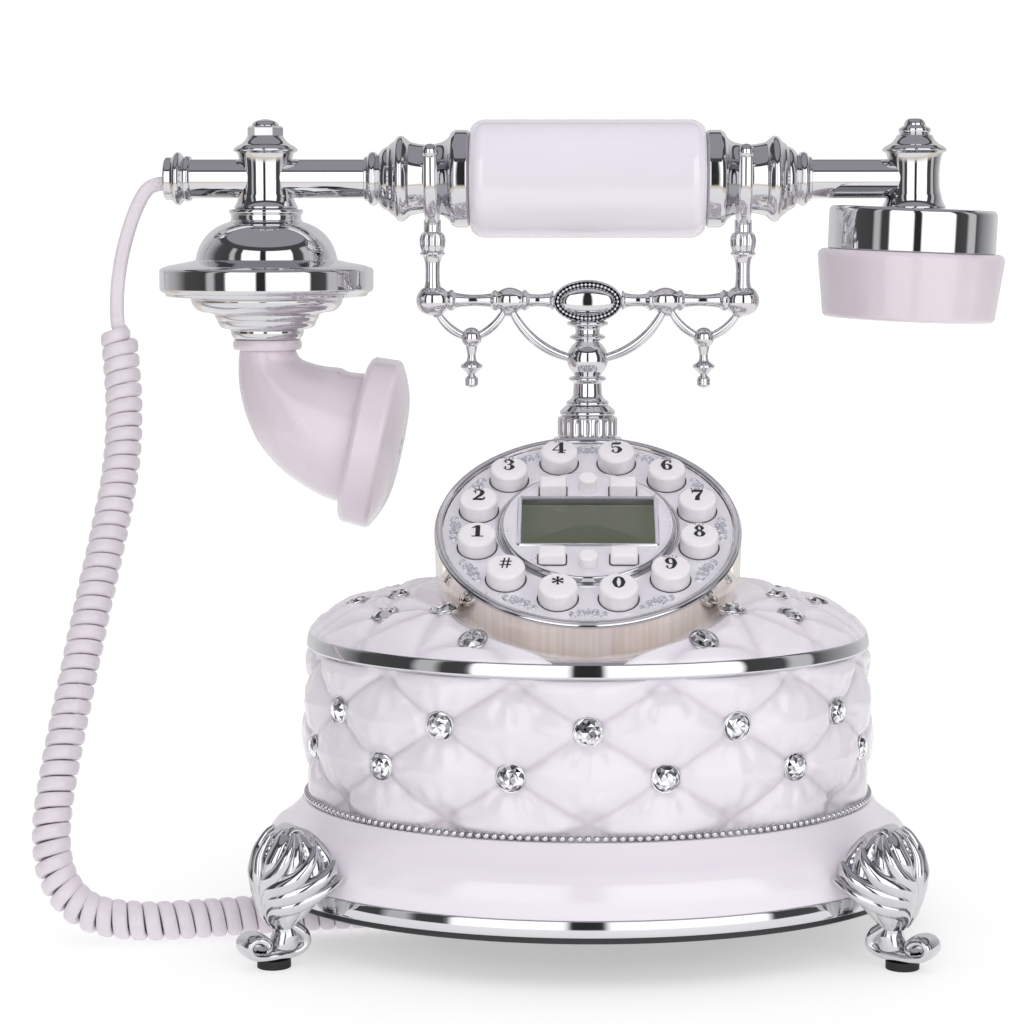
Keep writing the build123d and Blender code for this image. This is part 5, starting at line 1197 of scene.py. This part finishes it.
GRIP_HALF, GRIP_R = 36.2, 18.15
satin_grip = finish("satin_grip", (0.85, 0.81, 0.885), 0.17, mottle=0.03, mottle_size=0.04, rough_spread=0.04,
                    grain=0.03, grain_size=0.005, Coat_Weight=0.8, Coat_Roughness=0.08, Subsurface_Weight=0.15,
                    Subsurface_Scale=0.003, Subsurface_Radius=(1.0, 0.9, 0.95))
grip_line = edge_line([(0.0, -GRIP_HALF), (GRIP_R - 4.2, -GRIP_HALF), (GRIP_R - 1.2, 1.3 - GRIP_HALF, 0.45),
                       (GRIP_R, 4.6 - GRIP_HALF, 0.32), (GRIP_R, GRIP_HALF - 4.6),
                       (GRIP_R - 1.2, GRIP_HALF - 1.3, 0.32), (GRIP_R - 4.2, GRIP_HALF, 0.45),
                       (0.0, GRIP_HALF)], ease=0.6)
shell("grip_barrel", lay_on_x(turn_round(grip_line, 128), 1, HAND_Z), satin_grip, "handset", "handset_plastic",
      "grip_sleeve", sharp=60)

# ---------------------------------------------------------------- grip collars
# A turned and plated collar either side of the grip: a step against the barrel, the waist that lies
# in the saddle, and a trumpet that closes on the tube.

STEP = GRIP_HALF + 0.05
collar_line = edge_line([(0.0, STEP), (14.2, STEP), (15, STEP + 0.8), (15, 40.7), (14.3, 42.0), (10.9, 46.3, -0.75),
                         (10.5, 50.4, -0.15), (11.4, 54.9, -0.15), (12.8, 56.6, 0.05), (13.2, 57.6, 0.1),
                         (12.7, 58.8, 0.1), (10.8, 60.8, -0.2), (9.9, 61.6), (8.3, 64.0, 0.25), (7.3, 64.6),
                         (7.8, 65.1), (7.8, 67.5, 0.5), (6.8, 67.9), (6.8, 68.8), (0.0, 68.9)], ease=0.3)
for flip, side_name in ((-1, "left"), (1, "right")):
    shell(f"grip_collar_{side_name}", lay_on_x(turn_round(collar_line, 96), flip, HAND_Z), chrome, "handset",
          "chrome_casting", *(["grip_collars"] if flip < 0 else []))

# ---------------------------------------------------------------- tail cap
# A ringed cap that closes the tube's left end and grips the cord.

tail_line = edge_line([(0.0, 122.0), (6.6, 122.4), (7, 123), (7, 124), (6.5, 124.6), (7.5, 125.4), (7.5, 127.6, 0.7),
                       (6.6, 128.2), (6.6, 129.6), (5.8, 130.6, 0.3), (0.0, 130.6)], ease=0.2)
shell("tail_end", lay_on_x(turn_round(tail_line, 72), -1, HAND_Z), chrome, "handset", "chrome_casting", "tail_cap")

# ---------------------------------------------------------------- posts
# Upright turned sleeves that cross the tube and carry the bell on the left, the receiver on the
# right.  Each ends above in a finial; the left one has a six-sided nut under its dome.

EAR_X, MOUTH_X, POST_LOW, NUT_LOW, NUT_TOP, NUT_FLATS, FINIAL_TOP = 100.5, -99.4, 213.8, 236.2, 239.1, 9.5, 241.3
post = [(0.0, POST_LOW), (9.6, POST_LOW), (9.6, POST_LOW + 0.9, 0.2), (8.4, POST_LOW + 4.2, -0.2), (7.8, 222.4, -0.2),
        (8.3, 229.6, -0.25), (8.7, 230.9), (9.6, 231.3), (9.6, 232.4, 0.3), (8.7, 233.1), (5.5, NUT_LOW, -0.5)]
mouth_line = edge_line(post + [(0.0, NUT_LOW)], ease=0.25)
ear_line = edge_line(post + [(4.4, 236.8), (4.8, 238.4, 0.3), (3.4, 239.2), (0.4, FINIAL_TOP, 1.0),
                             (0.0, FINIAL_TOP)], ease=0.2)
shell("mouth_sleeve", turn_round(mouth_line, 80, 1.0, (MOUTH_X, STEM_Y)), chrome, "handset", "chrome_casting",
      "mouth_post")
dome_line = edge_line([(0.0, 238.9), (4.3, NUT_TOP), (2.6, 240.8, 0.35), (0.0, FINIAL_TOP, 0.1)], ease=0.2)
shell("mouth_finial", turn_round(dome_line, 48, 1.0, (MOUTH_X, STEM_Y)), chrome, "handset", "chrome_casting")
corner = NUT_FLATS / 3 ** 0.5
nut_line = np.array([(0.0, NUT_LOW), (corner, NUT_LOW), (corner, NUT_TOP - 0.5), (corner - 0.5, NUT_TOP),
                     (0.0, NUT_TOP)])
shell("mouth_nut", turn_round(nut_line, 6, 1.0, (MOUTH_X, STEM_Y)), chrome, "handset", "chrome_casting", flat=True)
shell("ear_sleeve", turn_round(ear_line, 80, 1.0, (EAR_X, STEM_Y)), chrome, "handset", "chrome_casting", "ear_post")

# ---------------------------------------------------------------- bell
# The wide skirted bell under the left post: a spun and plated cup, stepped like a bell push, with a
# dome that narrows to the post.

BELL_LOW, BELL_TALL = 173.4, 40.4
bell = [(9.9, 0.0), (11.3, 3.0, 0.45), (12.3, 3.4), (15.3, 6.0, 0.9), (16.2, 7.9, 0.2), (17.6, 8.3), (18.4, 8.7),
        (22.6, 10.4, 0.7), (23.4, 12.6, 0.2), (24.4, 13.0), (31.0, 13.5), (31.4, 14.5), (32.6, 15.0), (33.0, 15.8),
        (33.0, 20.7), (32.3, 22.2, 0.3), (30.4, 22.9), (24.4, 24.0), (21.9, 24.6), (11.3, 36.4, 2.5), (10.8, 36.9),
        (10.8, 38.6), (11.2, 38.9), (11.2, 40.2, 0.2), (9.4, BELL_TALL), (0.0, BELL_TALL)]
bell_line = edge_line([(0.0, BELL_LOW)] + [(r, up + BELL_LOW, *bulge) for r, up, *bulge in bell], ease=0.35)
shell("bell_cup", turn_round(bell_line, 160, 1.0, (MOUTH_X, STEM_Y)), chrome, "handset", "chrome_casting",
      "mouth_bell")

# ---------------------------------------------------------------- mouthpiece ring, horn and cap
# A white ring joins the bell to a horn of milky plastic, which turns from straight down to almost
# level as it widens.  Its cap screws on and has a ring of small holes.

horn_milk = finish("horn_milk", (0.775, 0.69, 0.755), 0.24, mottle=0.04, mottle_size=0.03, rough_spread=0.05,
                   grain=0.04, grain_size=0.004, Coat_Weight=0.6, Coat_Roughness=0.12, Subsurface_Weight=0.15,
                   Subsurface_Scale=0.003, Subsurface_Radius=(1.0, 0.88, 0.9))
HORN_TOP = 170.3
ring_line = edge_line([(0.0, HORN_TOP), (10.2, HORN_TOP), (10.2, BELL_LOW, 0.5), (0.0, BELL_LOW)], ease=0.2)
shell("horn_ring", turn_round(ring_line, 72, 1.0, (MOUTH_X, STEM_Y)), horn_milk, "handset", "handset_plastic")

CAP_DIP, CAP_X, CAP_Z = radians(12), -72.4, 142.6
# across, up, radius and the way the horn faces, in degrees below level
HORN = np.array([(MOUTH_X, HORN_TOP, 8.6, 90), (-98.9, 166.4, 9.6, 84), (-97, 162.2, 11.8, 71),
                 (-94.5, 157.8, 14, 58), (-91, 153, 16.4, 44), (-85.8, 148.4, 18.4, 29),
                 (-78.86, 143.97, 19.7, 12), (CAP_X, CAP_Z, 20.6, 12)])


def horn_grid():
    """Rings that swell along the horn's line and turn with it."""
    keys, fine = np.arange(len(HORN)), np.linspace(0, len(HORN) - 1, 64)
    smooth = np.array([np.interp(fine, keys, HORN[:, k]) for k in range(4)])
    tent = np.array([1, 2, 3, 4, 5, 4, 3, 2, 1]) / 25
    before, after = 2 * smooth[:, :1] - smooth[:, 4:0:-1], 2 * smooth[:, -1:] - smooth[:, -2:-6:-1]
    rows = np.concatenate([before, smooth, after], 1)
    x, z, r, dip = np.array([np.convolve(row, tent, "valid") for row in rows])[:, :, None]
    q, lean = turns(96)[None], np.radians(dip)
    return np.stack([x + r * np.cos(q) * np.sin(lean), STEM_Y + r * np.sin(q), z + r * np.cos(q) * np.cos(lean)], -1)


shell("horn", cap_ends(horn_grid()), horn_milk, "handset", "handset_plastic", "mouth_elbow", sharp=60)
CAP_DEEP = 14.3
cap_line = edge_line([(0.0, -0.4), (23.6, -0.4), (24.4, 0.0), (26.2, 1.6, 0.3), (26.6, 8.3), (25, 10.3, 0.4),
                      (6.0, 14.6, 1.6), (4.0, CAP_DEEP), (0.0, CAP_DEEP)], ease=0.5)


def on_cap(grid):
    """Places points given about the mouth cap's own axis."""
    x, y, z = np.moveaxis(grid, -1, 0)
    return np.stack([CAP_X + x * sin(CAP_DIP) + z * cos(CAP_DIP), STEM_Y + y,
                     CAP_Z + x * cos(CAP_DIP) - z * sin(CAP_DIP)], -1)


shell("mouth_cap_shell", on_cap(turn_round(cap_line, 120)), horn_milk, "handset", "handset_plastic", "mouth_cap",
      sharp=60)
# Painted shade: the holes are not cut; thin dark discs laid on the cap stand for the shade inside them.
painted_hole_shade = finish("painted_hole_shade", (0.02, 0.018, 0.02), 0.6, mottle=0.2)
HOLE_R, HOLE_UP, HOLE_CIRCLE = 0.95, 0.06, 3.4
disc = turn_round(edge_line([(0.0, 0.0), (HOLE_R, 0.0), (HOLE_R, HOLE_UP), (0.0, HOLE_UP)], ease=0.01), 20)


def holes_round(*circles):
    """Places of one hole in the middle and of evenly spread holes on circles of (radius, number)."""
    return np.array([(0, 0)] + [(r * cos(a), r * sin(a)) for r, number in circles for a in turns(number)])


hole_spots = np.insert(holes_round((HOLE_CIRCLE, 6)), 2, CAP_DEEP - 0.02, axis=1)
many("mouth_holes", on_cap(at_spots(disc, hole_spots)), painted_hole_shade, "handset", "handset_plastic")

# ---------------------------------------------------------------- receiver
# The ear end: a plated drum and a wide shallow cap of the same milky plastic, hung a little askew under
# the right post, with its sound holes on the underside.

EAR_TILT, EAR_SEAM = radians(2.3), -13.3
ear_top = np.array([EAR_X, STEM_Y, 214.0])


def on_ear(grid):
    """Places points given about the receiver's own axis."""
    x, y, z = np.moveaxis(grid, -1, 0)
    return ear_top + np.stack([x * cos(EAR_TILT) + z * sin(EAR_TILT), y, z * cos(EAR_TILT) - x * sin(EAR_TILT)], -1)


ear_drum_line = edge_line([(0.0, EAR_SEAM), (25.8, EAR_SEAM), (25.8, -1.6), (24.2, 0, 0.5), (0.0, 0.0)], ease=0.4)
shell("ear_drum", on_ear(turn_round(ear_drum_line, 128)), chrome, "handset", "chromed_plastic", "ear_housing")
CAP_LOW = -34.3
ear_cap_line = edge_line([(0.0, CAP_LOW + 1.6), (22.6, CAP_LOW + 0.5), (25.1, CAP_LOW), (26.6, CAP_LOW + 1.5, 0.4),
                          (28.7, -15.8), (27.3, EAR_SEAM - 0.05, 0.5), (0.0, EAR_SEAM - 0.05)], ease=0.4)
shell("ear_cap_shell", on_ear(turn_round(ear_cap_line, 128)), horn_milk, "handset", "handset_plastic", "ear_cap")
# the receiver's sound holes are painted shade as well: dark discs on the cap's underside
spots = holes_round((5, 6), (9.6, 12))
ear_holes = np.insert(spots, 2, CAP_LOW + 1.6 - 0.05 * np.hypot(*spots.T) - 0.05, axis=1)
many("ear_holes", on_ear(at_spots(disc, ear_holes)), painted_hole_shade, "handset", "handset_plastic")

# ---------------------------------------------------------------- cord
# The handset cord: limp vinyl, straight out of the tail cap for a hand's width, then wound in close
# turns down to the floor and in under the body, where a small moulded plug ends it.

cord_vinyl = finish("cord_vinyl", (0.77, 0.705, 0.76), 0.30, mottle=0.04, mottle_size=0.01, rough_spread=0.05,
                    grain=0.04, grain_size=0.003, Coat_Weight=0.3, Coat_Roughness=0.2, Subsurface_Weight=0.1,
                    Subsurface_Scale=0.001, Subsurface_Radius=(1.0, 0.9, 0.95))
CORD_R, COIL_R, COIL_PITCH, COIL_LIE = 0.0017, 0.0042, 0.0046, 0.0061
ROUTE = ((-0.1306, 0.036, 0.2215), (-0.1352, 0.036, 0.2215), (-0.139, 0.0359, 0.2155), (-0.1424, 0.0356, 0.2065),
         (-0.1450, 0.0352, 0.1955), (-0.1460, 0.0347, 0.1845), (-0.1454, 0.0341, 0.1756),
         (-0.1446, 0.0334, 0.1680), (-0.1429, 0.0290, 0.1520), (-0.1430, 0.0220, 0.1340),
         (-0.1458, 0.0120, 0.1140), (-0.1492, 0.0005, 0.0930), (-0.1526, -0.0110, 0.0700),
         (-0.1556, -0.0200, 0.0500), (-0.1577, -0.0262, 0.0322), (-0.1556, -0.0288, 0.0185),
         (-0.1470, -0.0300, 0.0085), (-0.1308, -0.0294, COIL_LIE), (-0.1165, -0.0260, COIL_LIE),
         (-0.0990, -0.0208, COIL_LIE), (-0.0800, -0.0164, COIL_LIE), (-0.0620, -0.0132, COIL_LIE),
         (-0.0490, -0.0118, COIL_LIE), (-0.0400, -0.0110, COIL_LIE), (-0.0346, -0.0105, 0.0062),
         (-0.0294, -0.0102, 0.0090), (-0.0262, -0.0098, 0.0140), (-0.0226, -0.0093, 0.0186),
         (-0.0176, -0.0090, 0.0206), (-0.0120, -0.0090, 0.0206))
COIL_FIRST, COIL_LAST = 6, 22                                # the route's points where the winding begins and ends
EASE_IN, WIND_ON, RUN_OUT, EASE = 0.002, 0.002, 0.004, 0.0046


def follow(points):
    """Points along the smooth line that has the route's points as its controls."""
    curve = bpy.data.curves.new("route", "CURVE")
    curve.dimensions = "3D"
    curve.resolution_u = 24
    spline = curve.splines.new("NURBS")
    spline.points.add(len(points) - 1)
    for spot, place in zip(spline.points, points):
        spot.co = (*place, 1)
    spline.order_u = 3
    spline.use_endpoint_u = True
    holder = bpy.data.objects.new("route", curve)
    bpy.context.scene.collection.objects.link(holder)
    drawn = bpy.data.meshes.new_from_object(holder.evaluated_get(bpy.context.evaluated_depsgraph_get()))
    bpy.data.objects.remove(holder)
    flat = np.empty(len(drawn.vertices) * 3)
    drawn.vertices.foreach_get("co", flat)
    return flat.reshape(-1, 3)


def even(line, step):
    """The same line at even steps."""
    walk = walked(line)
    at = np.linspace(0, walk[-1], max(int(walk[-1] / step), 8))
    return np.stack([np.interp(at, walk, line[:, k]) for k in range(3)], -1), at


centre, along = even(follow(ROUTE), 0.00023)
run = heading_of(centre)
side = unit(np.cross(run, [0, 1.0, 0]))
other = np.cross(run, side)
coil_start, coil_end = (along[np.argmin(np.linalg.norm(centre - np.array(ROUTE[k]), axis=1))]
                        for k in (COIL_FIRST, COIL_LAST))
swell = (np.clip((along - coil_start + EASE_IN) / EASE, 0, 1)
         * np.clip((coil_end + RUN_OUT - along) / EASE, 0, 1))
swell = swell * swell * (3 - 2 * swell)
wind = 2 * pi * np.clip(along - coil_start, 0, coil_end - coil_start + WIND_ON) / COIL_PITCH
strand = centre + COIL_R * swell[:, None] * (np.cos(wind)[:, None] * side + np.sin(wind)[:, None] * other)
broad = swell[:, None] * run + (1 - swell[:, None]) * [1.0, 0, 0]
walk = walked(strand)
strand, strand_at = even(strand, 0.0011)
broad = np.stack([np.interp(strand_at, walk, broad[:, k]) for k in range(3)], -1)


def flat_tube(line, broad, half_wide, half_thick):
    """Grid of a flattened tube along a line, its broad side laid along the given directions, closed at its
    ends."""
    run = heading_of(line)
    flat = unit(broad - run * (broad * run).sum(1, keepdims=True))
    deep = np.cross(run, flat)
    over, out = (row[..., None] for row in squared_circle(16, 0.75))
    return cap_ends(line[:, None] + half_wide * over * flat[:, None] + half_thick * out * deep[:, None])


STRAND_WIDE, STRAND_THICK = 0.00218, 0.00155
cord = shell("handset_cord", flat_tube(strand, broad, STRAND_WIDE, STRAND_THICK) / MM, cord_vinyl, "base",
             "cord_plastic", "cord_lead", "cord_coil", "cord_tail", sharp=80)
repaint("cord_plug", finish("plug_clear", (0.75, 0.76, 0.80), 0.12, mottle=0.06, rough_spread=0.04, Coat_Weight=0.6,
                            Coat_Roughness=0.05))

# ---------------------------------------------------------------- studio
# A pale floor under a wide white tent: large soft panels either side, a dim gap towards the front that
# the polished parts mirror, and a warm floor tone.

world = bpy.data.worlds.new("tent")
bpy.context.scene.world = world
world.use_nodes = True
nodes, link = world.node_tree.nodes, world.node_tree.links.new
way = nodes.new("ShaderNodeTexCoord").outputs["Generated"]
split = nodes.new("ShaderNodeSeparateXYZ")
link(way, split.inputs[0])
eye = nodes.new("ShaderNodeLightPath")


def plug(value, socket):
    """Sets a socket to a number or a colour, or joins it to an output."""
    if isinstance(value, bpy.types.NodeSocket):
        link(value, socket)
    else:
        socket.default_value = (*value, 1) if isinstance(value, tuple) else value


def mixed(share, first, second):
    """The first colour changing to the second as the share goes from 0 to 1."""
    node = nodes.new("ShaderNodeMixRGB")
    for value, socket in zip((share, first, second), node.inputs):
        plug(value, socket)
    return node.outputs[0]


def ranged(value, tree=world.node_tree, **limits):
    """A value carried from one range into another, 0 to 1 where no other is given."""
    node = tree.nodes.new("ShaderNodeMapRange")
    socket_set(node, **limits)
    tree.links.new(value, node.inputs["Value"])
    return node.outputs[0]


def worked(operation, first, second):
    """The result of an arithmetic operation on two values."""
    node = nodes.new("ShaderNodeMath")
    node.operation = operation
    for value, socket in zip((first, second), node.inputs):
        plug(value, socket)
    return node.outputs[0]


# share of the way round, from the front, and brightness of the tent there
PANELS = ((0.0, 0.60), (0.10, 0.70), (0.20, 0.42), (0.25, 0.08), (0.325, 0.06), (0.335, 0.55), (0.352, 0.55),
          (0.362, 0.06), (0.390, 0.06), (0.396, 1.50), (0.483, 1.50), (0.487, 0.03), (0.513, 0.03),
          (0.517, 1.50), (0.645, 1.45), (0.652, 0.06), (0.700, 0.08), (0.712, 0.60), (0.742, 0.60),
          (0.750, 0.08), (0.790, 0.30), (0.90, 0.70), (1.0, 0.60))
azimuth = worked("ARCTAN2", split.outputs["X"], worked("MULTIPLY", split.outputs["Y"], -1.0))
panels = ramp(nodes, *((place, (level, level, level * 1.01)) for place, level in PANELS))
link(ranged(azimuth, From_Min=-pi, From_Max=pi), panels.inputs["Fac"])
levels = ramp(nodes, (0.615, (0, 0, 0)), (0.64, (1, 1, 1)))
link(split.outputs["Z"], levels.inputs["Fac"])
walls = mixed(levels.outputs["Color"], panels.outputs[0], (0.07, 0.07, 0.075))
roof = mixed(eye.outputs["Is Glossy Ray"], (1.2, 1.2, 1.22), (0.34, 0.33, 0.36))
upper = mixed(ranged(split.outputs["Z"], From_Min=0.735, From_Max=0.755), walls, roof)
whole = mixed(ranged(split.outputs["Z"], From_Min=-0.24, From_Max=-0.34), upper, (0.82, 0.74, 0.64))
background = nodes["Background"]
link(mixed(eye.outputs["Is Camera Ray"], whole, (0.95, 0.95, 0.95)), background.inputs["Color"])
socket_set(background, Strength=1.12)

# Painted light: the floor glows white, partly near the body, which lightens the shadows cast on it, and fully at its
# edge, where its own colour falls to near black, so that it fades into the white backdrop.
FLOOR_R, GLOW_FROM, GLOW_TO = 0.48, 0.05, 0.26
floor_mesh = bpy.data.meshes.new("floor")
rim_turn = turns(96)
floor_mesh.from_pydata(np.stack([FLOOR_R * np.cos(rim_turn), FLOOR_R * np.sin(rim_turn), 0 * rim_turn], -1).tolist(),
                       [], [list(range(96))])
glowing_floor = finish("glowing_floor", (0.86, 0.85, 0.84), 0.7, mottle=0.01, mottle_size=0.3)
paper = glowing_floor.node_tree
reach = paper.nodes.new("ShaderNodeVectorMath")
reach.operation = "LENGTH"
paper.links.new(paper.nodes.new("ShaderNodeTexCoord").outputs["Object"], reach.inputs[0])
paper_shader = paper.nodes["Principled BSDF"]
for socket_name, near, far in (("Base Color", 0.60, 0.02), ("Emission Strength", 0.46, 1.0)):
    level = ranged(reach.outputs["Value"], paper, From_Min=GLOW_FROM, From_Max=GLOW_TO, To_Min=near, To_Max=far)
    paper.links.new(level, paper_shader.inputs[socket_name])
socket_set(paper_shader, Emission_Color=(1, 1, 1, 1))
floor_mesh.materials.append(glowing_floor)
floor = bpy.data.objects.new("floor", floor_mesh)
bpy.context.scene.collection.objects.link(floor)

CAMERA_SPOT, CAMERA_DIP, CAMERA_PAN = (-0.003, -0.8059, 0.2145), 0.0972, 0.0092
camera_data = bpy.data.cameras.new("camera")
camera_data.lens, camera_data.sensor_width = 95.42, 36.0
camera_data.shift_x = camera_data.shift_y = -0.04
camera = bpy.data.objects.new("camera", camera_data)
bpy.context.scene.collection.objects.link(camera)
camera.location = CAMERA_SPOT
camera.rotation_euler = (pi / 2 - CAMERA_DIP, 0, CAMERA_PAN)
bpy.context.scene.camera = camera
bpy.context.scene.view_settings.view_transform = "Standard"
